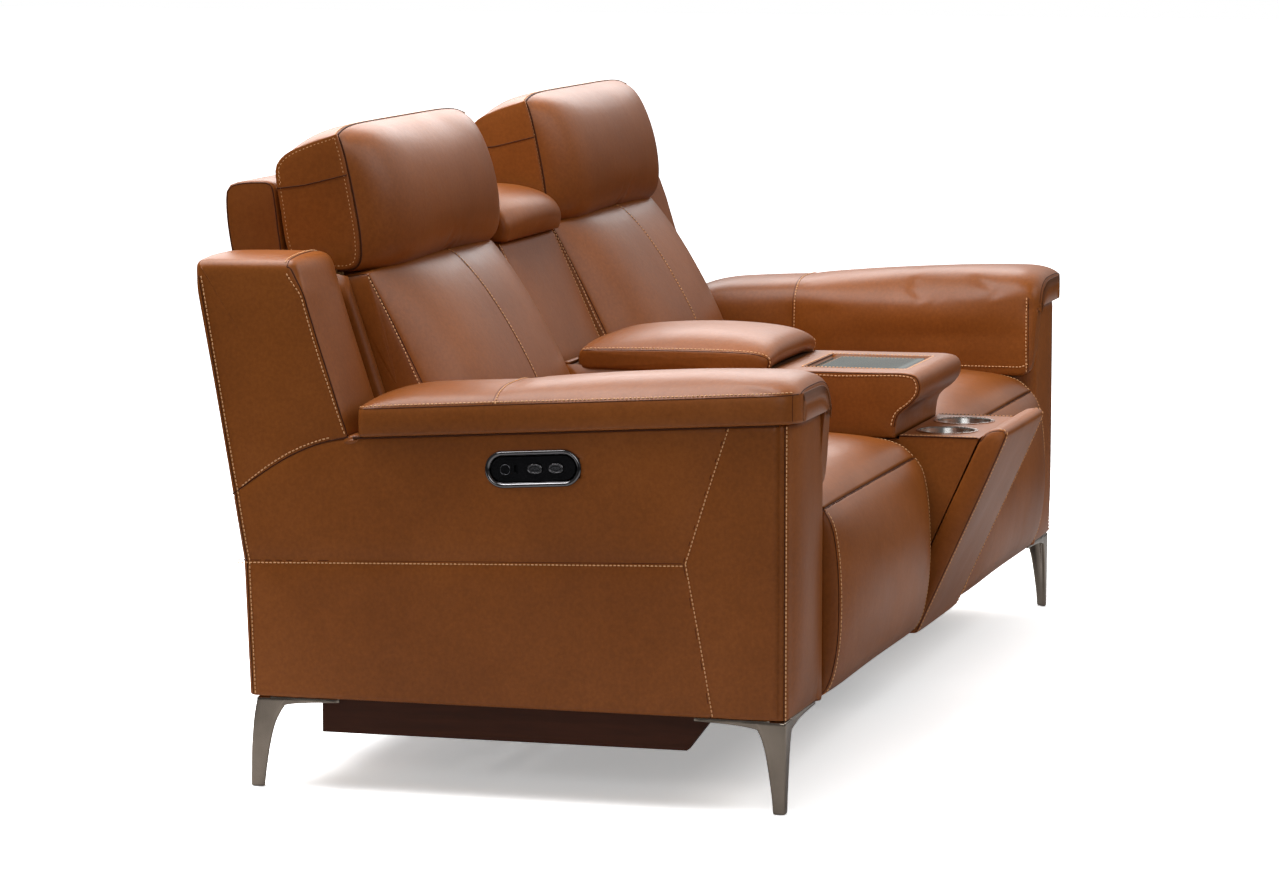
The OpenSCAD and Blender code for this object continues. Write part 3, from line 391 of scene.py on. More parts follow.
def stitch(body, path):
    """One stitch is a six-sided spindle: four rings whose radius goes 0.4, 1, 1, 0.4 along it."""
    q, n, d = resample(*path, STITCH_PITCH)
    along = np.array([-0.5, -0.28, 0.28, 0.5]) * STITCH_LENGTH
    width = np.array([0.4, 1, 1, 0.4]) * STITCH_R
    ring = n[:, None, None] * SIN_6 * 0.8 + np.cross(d, n)[:, None, None] * COS_6
    co = (q + n * STITCH_LIFT)[:, None, None] + d[:, None, None] * along[:, None, None] \
        + ring * width[:, None, None]
    threads.setdefault(body, []).append(co.reshape(len(q), 24, 3))


def seam(body, path, r=0.0010, sink=0.0004):
    """Narrow dark cord lying in the seam, painted shade of the seam's groove: a six-sided ring
    carried along the path.
    """
    p = path[0]
    q, n, d = (np.concatenate([v[:1], v, v[-1:]]) for v in resample(*path, CORD_STEP))
    q[0], q[-1] = p[0], p[-1]
    ring = n[:, None] * SIN_6 + np.cross(d, n)[:, None] * COS_6
    shade_cords.setdefault(body, []).append((q - n * sink)[:, None] + ring * r)


def both_sides(draw, body, path, **kw):
    """Draws a seam on the left piece and its mirror image on the right one."""
    draw(body, path, **kw)
    draw(to_right(body), [v * (-1, 1, 1) for v in path], **kw)


def one_side(draw, body, path, **kw):
    """Draws a seam on a piece in the middle, which has no mirror image."""
    draw(body, path, **kw)


def sew_ends(pad, body, j0, j1, shift, r=0.0010, from_j=None, sides=both_sides):
    """Cord along both ends of a pad from place j0 to j1, and stitches beside it: shift further
    in, or out where shift is negative, and from place from_j where it is given."""
    for row, way in ((0, 1), (pad.rows - 1, -1)):
        sides(seam, body, pad.end_line(row, j0, j1), r=r)
        sides(stitch, body, pad.end_line(row, from_j or j0, j1, way * shift))


def sew_up():
    """One piece of thread, and one of dark seam cord as the seams' painted shade, for each body."""
    quads = grid_faces(4, 6)
    caps = [[5, 4, 3, 2, 1, 0], [18, 19, 20, 21, 22, 23]]
    for body, parts in threads.items():
        co = np.concatenate(parts)
        base = (np.arange(len(co)) * 24)[:, None, None]
        faces = (quads[None] + base).reshape(-1, 4).tolist()
        faces += [[v + k for v in c] for k in base.ravel().tolist() for c in caps]
        finish(mesh_object(body + "_thread", co, faces), body, material=THREAD)
    for body, parts in shade_cords.items():
        co, faces, base = [], [], 0
        for g in parts:
            m = len(g)
            co.append(g.reshape(-1, 3))
            faces += (grid_faces(m, 6) + base).tolist()
            faces += [[base + k for k in range(5, -1, -1)],
                      [base + (m - 1) * 6 + k for k in range(6)]]
            base += m * 6
        finish(mesh_object(body + "_seams", np.concatenate(co), faces), body, material=SEAM_SHADE)


# ---------------------------------------------------------------- materials

def new_material(name, color, rough, metal=0.0, **sockets):
    m = bpy.data.materials.new(name)
    m.use_nodes = True
    p = m.node_tree.nodes["Principled BSDF"]
    p.inputs["Base Color"].default_value = (*color, 1)
    p.inputs["Roughness"].default_value = rough
    p.inputs["Metallic"].default_value = metal
    for k, v in sockets.items():
        p.inputs[k.replace("_", " ")].default_value = v
    return m


def linear(r, g, b):
    """sRGB 0 to 255 to linear."""
    return tuple((c / 255 / 12.92 if c < 10.3 else ((c / 255 + 0.055) / 1.055) ** 2.4)
                 for c in (r, g, b))


def node(t, kind, inputs=(), **settings):
    """New node of a tree. inputs maps each socket to a value or to the output that feeds it."""
    n = t.nodes.new("ShaderNode" + kind)
    for k, v in settings.items():
        setattr(n, k, v)
    feed(t, n, inputs)
    return n


def feed(t, n, inputs):
    """Sets sockets of a node, or links them where they are given an output."""
    for k, v in dict(inputs).items():
        if isinstance(v, bpy.types.NodeSocket):
            t.links.new(v, n.inputs[k])
        else:
            n.inputs[k].default_value = v


def sums(t, operation, *values):
    """Output of a node that works out one operation on up to three values."""
    return node(t, "Math", enumerate(values), operation=operation).outputs[0]


def noise(t, scale, detail=4.0, rough=0.55, stretch=None):
    source = node(t, "TexCoord").outputs["Object"]
    if stretch:
        source = node(t, "Mapping", {"Vector": source, "Scale": stretch}).outputs["Vector"]
    return node(t, "TexNoise", {"Vector": source, "Scale": scale, "Detail": detail,
                                "Roughness": rough}).outputs["Fac"]


def ramp(t, source, stops):
    r = node(t, "ValToRGB", {"Fac": source})
    while len(r.color_ramp.elements) < len(stops):
        r.color_ramp.elements.new(0.5)
    for e, (pos, color) in zip(r.color_ramp.elements, stops):
        e.position = pos
        e.color = (*color, 1)
    return r.outputs["Color"]


def to_range(t, value, low, high, start=0.0, end=1.0, way="LINEAR"):
    """Turns start to end into low to high."""
    return node(t, "MapRange", {"Value": value, "From Min": start, "From Max": end,
                                "To Min": low, "To Max": high},
                interpolation_type=way).outputs["Result"]


def leather(name, dark, mid, light, rough=0.37, grain=0.35):
    """Semi-aniline leather: three browns clouded by two noises, a fine pebbled grain of cells,
    faint creases, and a roughness that wanders a little."""
    m = new_material(name, mid, rough)
    t = m.node_tree
    cloud, speck = noise(t, 3.2, 5.0, 0.6), noise(t, 170.0, 3.0, 0.6)
    tone = sums(t, "MULTIPLY_ADD", speck, 0.55, sums(t, "SUBTRACT", cloud, 0.275))
    cells = node(t, "TexVoronoi", {"Vector": node(t, "TexCoord").outputs["Object"],
                                   "Scale": 620.0}, feature="SMOOTH_F1")
    fine = node(t, "Bump", {"Strength": grain, "Distance": 0.00025,
                            "Height": cells.outputs["Distance"]})
    crease = node(t, "Bump", {"Strength": 0.38, "Distance": 0.004,
                              "Height": noise(t, 11.0, 6.0, 0.5, (1.0, 1.6, 0.7)),
                              "Normal": fine.outputs["Normal"]})
    feed(t, t.nodes["Principled BSDF"], {
        "Specular IOR Level": 0.28,
        "Base Color": ramp(t, tone, [(0.30, dark), (0.52, mid), (0.75, light)]),
        "Roughness": to_range(t, noise(t, 9.0, 3.0), rough - 0.05, rough + 0.07),
        "Normal": crease.outputs["Normal"]})
    return m


TAN = leather("leather_tan", linear(122, 65, 20), linear(134, 73, 25), linear(147, 82, 31))
SHELL = leather("leather_back", linear(116, 60, 19), linear(125, 67, 22), linear(134, 74, 27))
# Dark brown of the seam cords: painted shade in the seam grooves
SEAM_SHADE = new_material("leather_seam", linear(70, 34, 14), 0.6, Specular_IOR_Level=0.15)
THREAD = new_material("thread", linear(226, 170, 118), 0.6)


def scratched(name, color, rough, scale, metal=1.0, wear=0.08):
    """Metal, or gloss where metal is 0, whose roughness runs in long fine streaks and whose
    tone is slightly clouded."""
    m = new_material(name, color, rough, metal)
    t = m.node_tree
    dull, plain, bright = (tuple(c * k for c in color) for k in (0.82, 1.0, 1.15))
    feed(t, t.nodes["Principled BSDF"], {
        "Roughness": to_range(t, noise(t, 30.0, 4.0, 0.6, scale), max(rough - wear, 0.03),
                              rough + wear),
        "Base Color": ramp(t, noise(t, 14.0, 4.0), [(0.3, dull), (0.5, plain), (0.7, bright)])})
    return m


NICKEL = scratched("nickel_legs", linear(158, 145, 132), 0.2, (40, 40, 1))
CHROME = scratched("rim_chrome", linear(128, 126, 128), 0.12, (1, 40, 1), wear=0.04)
CUP = scratched("cup_steel", linear(205, 203, 200), 0.22, (1, 1, 80))
BLACK_STEEL = scratched("link_steel", linear(44, 44, 47), 0.42, (20, 20, 20), 0.7)
RAIL = scratched("rail_steel", linear(40, 40, 42), 0.5, (20, 20, 20), 0.6)
ZINC = scratched("zinc", linear(190, 190, 188), 0.33, (8, 40, 8))
GLOSS = scratched("control_black", linear(16, 16, 18), 0.14, (10, 10, 10), 0.0, 0.04)
ROCKER = scratched("rocker_silver", linear(120, 120, 124), 0.28, (10, 10, 10))
SMOKE = scratched("smoked_glass", linear(98, 103, 98), 0.08, (10, 10, 10), 0.0, 0.03)


def wood(name, dark, light, rough=0.6, along=(1.0, 14.0, 14.0)):
    """Long grain: noise drawn out along the board, and fine pores over it."""
    m = new_material(name, light, rough)
    t = m.node_tree
    bump = node(t, "Bump", {"Strength": 0.2, "Distance": 0.0006,
                            "Height": noise(t, 40.0, 5.0, 0.6, along)})
    feed(t, t.nodes["Principled BSDF"], {
        "Specular IOR Level": 0.2,
        "Base Color": ramp(t, noise(t, 6.0, 6.0, 0.65, along), [(0.35, dark), (0.65, light)]),
        "Normal": bump.outputs["Normal"]})
    return m


PLY = wood("carcass_wood", linear(160, 122, 80), linear(200, 164, 118))
# Dark wood for the console carcass: painted shade, so the sliver of it seen between lid, ledge and
# box side reads dark
CARCASS_SHADE_WOOD = wood("console_wood", linear(78, 47, 27), linear(98, 62, 37))
SKIRT = wood("skirt_board", linear(66, 34, 19), linear(76, 39, 22), 0.45, (14.0, 1.0, 14.0))

for slot_name, material in {
    "tan_leather": TAN, "back_leather": SHELL, "carcass_wood": PLY, "skirt_board": SKIRT,
    "leg_metal": NICKEL, "rail_steel": RAIL, "link_steel": BLACK_STEEL, "rocker_metal": ROCKER,
    "rim_metal": CHROME, "black_plastic": GLOSS, "tinted_glass": SMOKE, "cup_steel": CUP,
}.items():
    for part in frame["record"]["subparts"]:
        if part["material_slot"] == slot_name:
            o = frame["nodes"][part["node"]]
            for k in range(len(o.data.materials)):
                o.data.materials[k] = material
for name in ("left_drive_carriage", "right_drive_carriage"):
    frame["nodes"][name].data.materials[0] = ZINC
# The carcass in the darker wood: painted shade in the gap where it shows
frame["nodes"]["console_carcass"].data.materials[0] = CARCASS_SHADE_WOOD


# ---------------------------------------------------------------- pieces

def finish(o, body, *nodes, material=TAN, slot="tan_leather", fill=None):
    """Gives a piece its material and its body, and hides the nodes it stands for. slot and fill are
    not used."""
    o.data.materials.clear()
    o.data.materials.append(material)
    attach(o, body)
    if nodes:
        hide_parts(*nodes)


def to_right(name):
    """Name of the same thing on the right."""
    return name.replace("left", "right")


def twins(o, body, *nodes, **kw):
    """Finishes a piece on the left and its mirror image on the right."""
    other = mirrored(o, to_right(o.name))
    finish(o, body, *nodes, **kw)
    finish(other, to_right(body), *map(to_right, nodes), **kw)


def board_twins(name, outline, x0, x1, body, *nodes, material=TAN, slot="tan_leather", **kw):
    """A board of one outline on the left, and its mirror image on the right."""
    pad = Pad(name, outline, outline, x0, x1, **kw)
    twins(pad.object, body, *nodes, material=material, slot=slot)
    return pad


# ---------------------------------------------------------------- seats, leg rests, backs

PRESSED = (X0 + 0.001, X1 - 0.001)
NOTCH = 0.006
CUSHION_FILL = 0.7

seat_edge = side((-2, 420, 2), (44, 376, 2), (555, 376, 2), (508, 453), (448, 457), (270, 453),
                 (70, 449), (20, 440))
seat_mid = side((-4, 422, 2), (44, 376, 2), (555, 376, 2), (508, 455), (438, 466), (270, 472),
                (80, 465), (16, 450))
seat = Pad("left_seat", seat_edge, seat_mid, X0 + NOTCH, X1 - NOTCH, marks=(0.5, 2.5, 4.5),
           power=5.0, bulge=0.004)
lip = seat.at[0.5]
seat.puff(seat.band(lip, lip + 1) + seat.ends() + seat.band(seat.at[2.5], seat.at[4.5] + 1),
          0.010, *PRESSED)
seat.sharpen(lip)
twins(subdivide(seat.object), "sofa", "left_seat_cushion", fill=CUSHION_FILL)

pad_edge = side((-3, 418.4, 2), (-18, 398), (-27, 330), (-28, 235), (-18, 165), (0, 133),
                (45, 133, 2), (45, 368, 2))
pad_mid = side((-5, 420.4, 2), (-26, 404), (-44, 330), (-47, 240), (-30, 165), (-4, 133),
               (45, 133, 2), (45, 368, 2))
rest = Pad("left_footrest_front", pad_edge, pad_mid, X0 + 0.003, X1 - 0.003,
           marks=(0.5, 7.5, 9.5), power=5.0, bulge=0.003)
tip = rest.at[0.5]
rest.puff(rest.band(tip, tip + 1) + rest.ends() + rest.band(rest.at[7.5], rest.n),
          0.010, *PRESSED)
rest.sharpen(tip)
twins(subdivide(rest.object), "left_footrest", "left_footrest_pad", fill=CUSHION_FILL)

back_edge = side((572, 412), (632, 401, 2), (746, 744, 2), (704, 750, 2), (672, 692), (622, 596),
                 (576, 502), (558, 452))
back_mid = side((562, 412), (632, 401, 2), (746, 746, 2), (688, 762), (668, 760), (612, 700),
                (552, 604), (514, 522), (526, 462))
back = Pad("left_back_pad", back_edge, back_mid, X0 + NOTCH, X1 - NOTCH, marks=(1.5, 3.5, 5.5),
           power=4.0, bulge=0.004, stations=(SEAT_X,))
mid_row = int(np.argmin(np.abs(back.s - (SEAT_X - X0 - NOTCH) / (X1 - X0 - 2 * NOTCH))))
front_top = back.at[5.5]
held = back.ends() + back.band(back.at[1.5], back.at[3.5] + 1)
held += back.points([mid_row], range(front_top, back.n)) + back.band(front_top, front_top + 1)
back.puff(held, 0.010, *PRESSED)
twins(subdivide(back.object), "left_back", "left_back_cushion", fill=CUSHION_FILL)

head_edge = side((713, 755), (750, 750, 2), (838, 916, 2), (828, 927), (797, 944), (748, 957, 2),
                 (737, 926), (724, 866), (712, 800))
head_mid = side((686, 745), (750, 747, 2), (840, 922, 2), (835, 936), (800, 960), (753, 968, 2),
                (706, 958), (666, 872), (656, 776))
# Extra rows close to both ends keep the headrest's front full up to its side seams
HEAD_X0, HEAD_X1 = X0 + 0.005, X1 - 0.005
HEAD_ENDS = [x + s * d * MM for x, s in ((HEAD_X0, 1), (HEAD_X1, -1)) for d in (1.5, 3.5, 6, 13)]
head = Pad("left_headrest_pad", head_edge, head_mid, HEAD_X0, HEAD_X1, marks=(1.5, 3.5, 7.5),
           power=8.0, bulge=0.0003, stations=HEAD_ENDS)
front_top = head.at[7.5]
held = head.points(range(-head.first, 1), range(head.n))
held += head.points(range(head.rows - 1, head.rows + head.first), range(head.n))
held += head.band(head.at[1.5], head.at[3.5] + 1) + head.band(front_top, front_top + 1)
head.puff(held, 0.012, X0 + 0.0045, X1 - 0.0045)
twins(subdivide(head.object), "left_headrest", "left_headrest_cushion",
      fill=CUSHION_FILL)

gusset_outline = side((715, 757), (755, 752), (800, 762), (822, 768), (832, 790), (840, 850),
                      (848, 894), (846, 912), (828, 930), (788, 946), (749, 958, 2), (738, 925),
                      (726, 866), (714, 800))
GUSSET_T, GUSSET_R = 0.0044, 0.002
gussets = []
for near, ends in ((X0, {"round0": even(GUSSET_R)}), (X1 - GUSSET_T, {"round1": even(GUSSET_R)})):
    gussets.append(board_twins(
        "left_headrest_side_%d" % (len(gussets) + 1), gusset_outline, near + 0.0008,
        near + GUSSET_T - 0.0002, "left_headrest", "left_headrest_cushion", marks=(10.5,),
        bulge=0.0008, cell=0.010, rings=6, **ends))

# Seams of the soft pieces: dark cord in the seam as painted shade of its groove, thread a few
# millimetres beside it
sew_ends(seat, "sofa", seat.at[4.5] + 4, seat.n + lip, 0.004)
both_sides(seam, "left_footrest", rest.cross_line(tip, 0, rest.rows - 1))
sew_ends(rest, "left_footrest", tip, rest.at[7.5] - 6, 0.006)
sew_ends(back, "left_back", back.at[3.5] + 1, back.n, -0.005, from_j=back.at[5.5])
both_sides(stitch, "left_back", back.end_line(mid_row, back.at[5.5], back.n, 0.003))
both_sides(seam, "left_back", back.end_line(mid_row, back.at[5.5], back.n), r=0.0009)
for row in (0, head.rows - 1):
    both_sides(seam, "left_headrest", head.end_line(row, front_top, head.n), r=0.0015)
both_sides(seam, "left_headrest", head.cross_line(front_top, 0, head.rows - 1), r=0.0019)
both_sides(stitch, "left_headrest", head.cross_line(front_top, 0, head.rows - 1, -0.005))
for g, row in ((gussets[0], 1), (gussets[1], gussets[1].rows - 2)):
    both_sides(stitch, "left_headrest", g.end_line(row, g.at[10.5], g.n, -0.0045))


def on_end(cover, x, line):
    """A line of the side view laid on the end of a piece that faces x."""
    y, z = side(*line).T
    t = np.linspace(0, len(y) - 1, 8 * (len(y) - 1) + 1)
    k = np.arange(len(y))
    places = [np.full_like(t, x), np.interp(t, k, y), np.interp(t, k, z)]
    return cover.laid_on(np.column_stack(places))


for g, x in zip(gussets, (X0 - 0.002, X1 + 0.002)):
    cross_seam = on_end(g, x, [(846, 874), (800, 880), (728, 898)])
    both_sides(seam, "left_headrest", cross_seam, r=0.0008)
    both_sides(stitch, "left_headrest", on_end(g, x, [(841, 926), (841, 900), (838, 880)]))


# ---------------------------------------------------------------- arms

ARM_IN = -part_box("arm_inner_panels")[0].x
TILT = math.radians(3.5)  # the arm's top falls to the rear
COS_TILT, SIN_TILT = math.cos(TILT), math.sin(TILT)
PAD_FRONT, PAD_REAR = -0.017, 0.646
PAD_OUT, PAD_IN = -HALF_W - 0.014, -0.800
BAND, CROWN = 0.042, 0.024  # height of the pad's upright band, and of its crown above that
CROSS_SEAM = 0.438
APRON, APRON_IN = 0.444, 0.013  # height of the apron's lower edge, and how far it stands in
UNDER = 0.137  # height of the outer side's lower edge
FACE_IN = -0.8045
BOARD = 0.022  # thickness of the outer side


def pad_under(y):
    """Height of the arm pad's underside at y from the front."""
    return 0.568 - y * math.tan(TILT)


def quarter(q, r):
    """How far a quarter circle of radius r still stands back at distance q from its start."""
    q = np.clip(q, 0, r)
    return r - np.sqrt(np.maximum(r * r - (r - q) ** 2, 0))


def near_lines(y, z, lines):
    """Distance of each point to the nearest of several polylines in the side view."""
    p = np.stack([y, z], -1)
    best = np.full(y.shape, 1.0)
    for line in lines:
        for a, b in zip(line[:-1], line[1:]):
            d = b - a
            t = np.clip(((p - a) @ d) / (d @ d), 0, 1)
            best = np.minimum(best, np.linalg.norm(p - a - t[..., None] * d, axis=-1))
    return best


def bent(points, count=40):
    """Smooth open line through a few points (cubic through each, with even slopes)."""
    p = np.array(points, float) * MM
    t = np.linspace(0, len(p) - 1, count)
    i = np.clip(t.astype(int), 0, len(p) - 2)
    f = (t - i)[:, None]
    m = np.gradient(p, axis=0)
    return ((2 * f ** 3 - 3 * f ** 2 + 1) * p[i] + (f ** 3 - 2 * f ** 2 + f) * m[i]
            + (3 * f ** 2 - 2 * f ** 3) * p[i + 1] + (f ** 3 - f ** 2) * m[i + 1])


REAR_SLOPE = np.array([(137, 821), (339, 829), (440, 846), (766, 901)], float) * MM


def rear_y(z):
    """The arm's rear edge leans back with the height."""
    return np.interp(z, REAR_SLOPE[:, 0], REAR_SLOPE[:, 1])


wing_seam = bent([(662, 527.5), (706, 517), (753, 497), (800, 468), (844, 437)])
lower_seam = bent([(838, 339), (500, 350), (155, 361)], 20)
kink_top = bent([(91, 561), (124, 460), (155, 361)], 12)
kink_low = bent([(155, 361), (134, 250), (114, 138)], 12)
front_seam = bent([(5, 566), (5, 350), (5, 138)], 12)
side_seams = [lower_seam, kink_top, kink_low, wing_seam, front_seam]
CONTROL_Y, CONTROL_Z = 0.380, 0.491
CONTROL_L, CONTROL_H = 0.128 / 2, 0.036 / 2


def swell(y, z):
    """How far the arm's side stands out: the more, the further from the nearest seam."""
    return 0.0020 * (1 - np.exp(-near_lines(y, z, side_seams) / 0.012))


def side_shell():
    """Padded cover of the arm's outer side, carried along its plan: rear strip, side, front
    corner, front face and inner turn. Each row is a flat loop of height from the lower edge to
    the pad's underside or the wing's seam. The side swells between its seams, and sinks
    where the control panel sits."""
    out = -HALF_W
    # Shares of the height, and how far the first three stand in at the rounded edge
    levels = np.concatenate([[0, 0.002, 0.006, 0.012], np.linspace(0.022, 0.74, 42),
                             np.linspace(0.748, 0.975, 26), [0.985, 0.993, 1.0]])
    lip = np.array([0.006, 0.0022, 0.0006])
    along = np.unique(np.concatenate([np.linspace(0, 1, 100), np.linspace(0.37, 0.56, 40)]))
    r_front, r_rear, r_in = 0.014, 0.008, 0.014
    turn = np.radians(np.linspace(0, 90, 7))
    rows, inner, sides = [], [], []

    def add(x, y, back_x, back_y, top, t_side=0.0):
        z = UNDER + levels * (top - UNDER)
        y = y(z) if callable(y) else np.full_like(z, y)
        back_y = back_y(z) if callable(back_y) else np.full_like(z, back_y)
        rows.append(np.stack([np.full_like(z, x), y, z], -1))
        inner.append(np.stack([np.full_like(z, back_x), back_y, z], -1))
        sides.append(t_side)
    seam_low = wing_seam[-1, 1]
    for x in np.linspace(-ARM_IN + 0.001, out + r_rear + 0.004, 10):
        add(x, lambda z: rear_y(z), x if x > out + BOARD else out + BOARD,
            lambda z: rear_y(z) - BOARD, seam_low)
    for a in turn:
        add(out + r_rear * (1 - math.sin(a)),
            lambda z, a=a: rear_y(z) - r_rear * (1 - math.cos(a)),
            out + BOARD, lambda z: rear_y(z) - BOARD, seam_low)
    for t in along[::-1]:
        y_top = r_front + t * (0.843 - r_rear - r_front)
        top = pad_under(y_top) if y_top < wing_seam[0, 0] else np.interp(y_top, *wing_seam.T)
        f = lambda z, t=t: r_front + t * (rear_y(z) - r_rear - r_front)
        add(out, f, out + BOARD, lambda z, f=f: np.clip(f(z), BOARD, rear_y(z) - BOARD), top, 1.0)
    for a in turn:
        add(out + r_front * (1 - math.cos(a)), r_front * (1 - math.sin(a)), out + BOARD, BOARD,
            pad_under(0.004))
    turn_x = FACE_IN - r_in
    puff_mid, puff_in = 0.012, 0.007
    for t in np.linspace(0, 1, 20)[1:-1]:
        x = out + r_front + t * (turn_x - out - r_front)
        puff = puff_mid * (1 - (1 - min(2 * t, 1)) ** 3) - (puff_mid - puff_in) * fade(2 * t - 1)
        add(x, lambda z: -puff * (1 - np.exp(-np.maximum(z - UNDER, 0) / 0.03)),
            max(x, out + BOARD), BOARD, pad_under(0))
    for a in turn:
        add(turn_x + r_in * math.sin(a), (r_in + puff_in) * (1 - math.cos(a)) - puff_in,
            FACE_IN - BOARD, BOARD + 0.001 * math.sin(a), pad_under(0.01))
    add(FACE_IN, 0.034, FACE_IN - BOARD, 0.034, pad_under(0.03))
    outer, inner, sides = np.stack(rows), np.stack(inner), np.array(sides)
    # Swell between the seams, and the pocket behind the control panel
    y, z = outer[:, :, 1], outer[:, :, 2]
    dy, dz = y - CONTROL_Y, z - CONTROL_Z
    a, b = dy * COS_TILT - dz * SIN_TILT, dy * SIN_TILT + dz * COS_TILT
    a = np.maximum(np.abs(a) - (CONTROL_L - CONTROL_H), 0)
    inside = (np.hypot(a, b) < CONTROL_H + 0.0045) & (sides[:, None] > 0)
    outer[:, :, 0] += np.where(inside, 0.019, -swell(y, z) * sides[:, None])
    # Rounded lower and upper edges: the loop steps in towards the inner face
    step = unit(inner - outer)
    outer[:, :3] += step[:, :3] * lip[:, None]
    outer[:, -3:] += step[:, -3:] * lip[::-1, None] * 0.6
    ring = np.concatenate([outer, inner[:, ::-1]], 1)
    ring[:, :, 1] += FRONT
    return ring


twins(Cover("left_arm_side", side_shell(), ladder=True).object, "sofa", "left_outer_panel")


def on_side(line, shift=0.0, lift=0.0):
    """A line of the side view laid on the arm's outer side, moved sideways in its plane."""
    d = np.gradient(line, axis=0)
    d /= np.linalg.norm(d, axis=1, keepdims=True)
    line = line + np.stack([d[:, 1], -d[:, 0]], -1) * shift
    x = -HALF_W - swell(line[:, 0], line[:, 1]) - lift
    p = np.column_stack([x, line[:, 0] + FRONT, line[:, 1]])
    return p, np.tile((-1.0, 0, 0), (len(p), 1))


for line, shift in ((lower_seam, -0.0035), (kink_top, 0.0035), (kink_low, 0.0035),
                    (front_seam, 0.003)):
    both_sides(seam, "sofa", on_side(line), r=0.0008)
    both_sides(stitch, "sofa", on_side(line, shift))
both_sides(seam, "sofa", on_side(wing_seam), r=0.0011)
# Dark cord along the pad's underside: painted shadow line under the pad's overhang
pad_shadow_line = np.linspace(0.014, 0.655, 80)
pad_shadow_line = np.column_stack([pad_shadow_line, pad_under(pad_shadow_line) - 0.001])
both_sides(seam, "sofa", on_side(pad_shadow_line, lift=0.0006), r=0.0021, sink=0.0)
rear_z = np.linspace(0.14, 0.76, 60)
rear_line = np.column_stack([rear_y(rear_z) - 0.011, rear_z])
both_sides(stitch, "sofa", on_side(rear_line))
both_sides(seam, "sofa", on_side(rear_line, 0.004), r=0.0007)


def rim(name):
    """Bevelled ring round the control panel: a section (distance from the panel's middle line,
    height above the arm's side, both in mm) carried round two half circles and two straights."""
    section = np.array([(27.4, -2), (27.4, 1.4), (26.8, 3.0), (25.6, 4.4), (23.8, 5.0),
                        (22.0, 4.4), (20.4, 2.4), (19.2, 0.6), (18.5, -2), (18.5, -9),
                        (22, -10), (26, -9)]) * MM
    a = np.radians(np.linspace(-90, 90, 25))
    out = np.column_stack([np.concatenate([np.cos(a), -np.cos(a)]),
                           np.concatenate([np.sin(a), -np.sin(a)])])
    middle = np.repeat([(1, 0), (-1, 0)], len(a), 0) * (CONTROL_L - CONTROL_H)
    b = middle[:, None] + out[:, None] * section[:, :1]
    y = CONTROL_Y + b[..., 0] * COS_TILT + b[..., 1] * SIN_TILT
    z = CONTROL_Z - b[..., 0] * SIN_TILT + b[..., 1] * COS_TILT
    co = np.stack([-HALF_W - np.broadcast_to(section[:, 1], y.shape), y + FRONT, z], -1)
    m, n = co.shape[:2]
    faces = grid_faces(m, n).tolist()
    j = np.arange(n)
    k = (j + 1) % n
    faces += np.stack([(m - 1) * n + j, (m - 1) * n + k, k, j], -1).tolist()
    return turned_out(mesh_object(name, co, faces))


twins(rim("left_control_rim"), "sofa", "control_bezels", material=CHROME, slot="rim_metal")


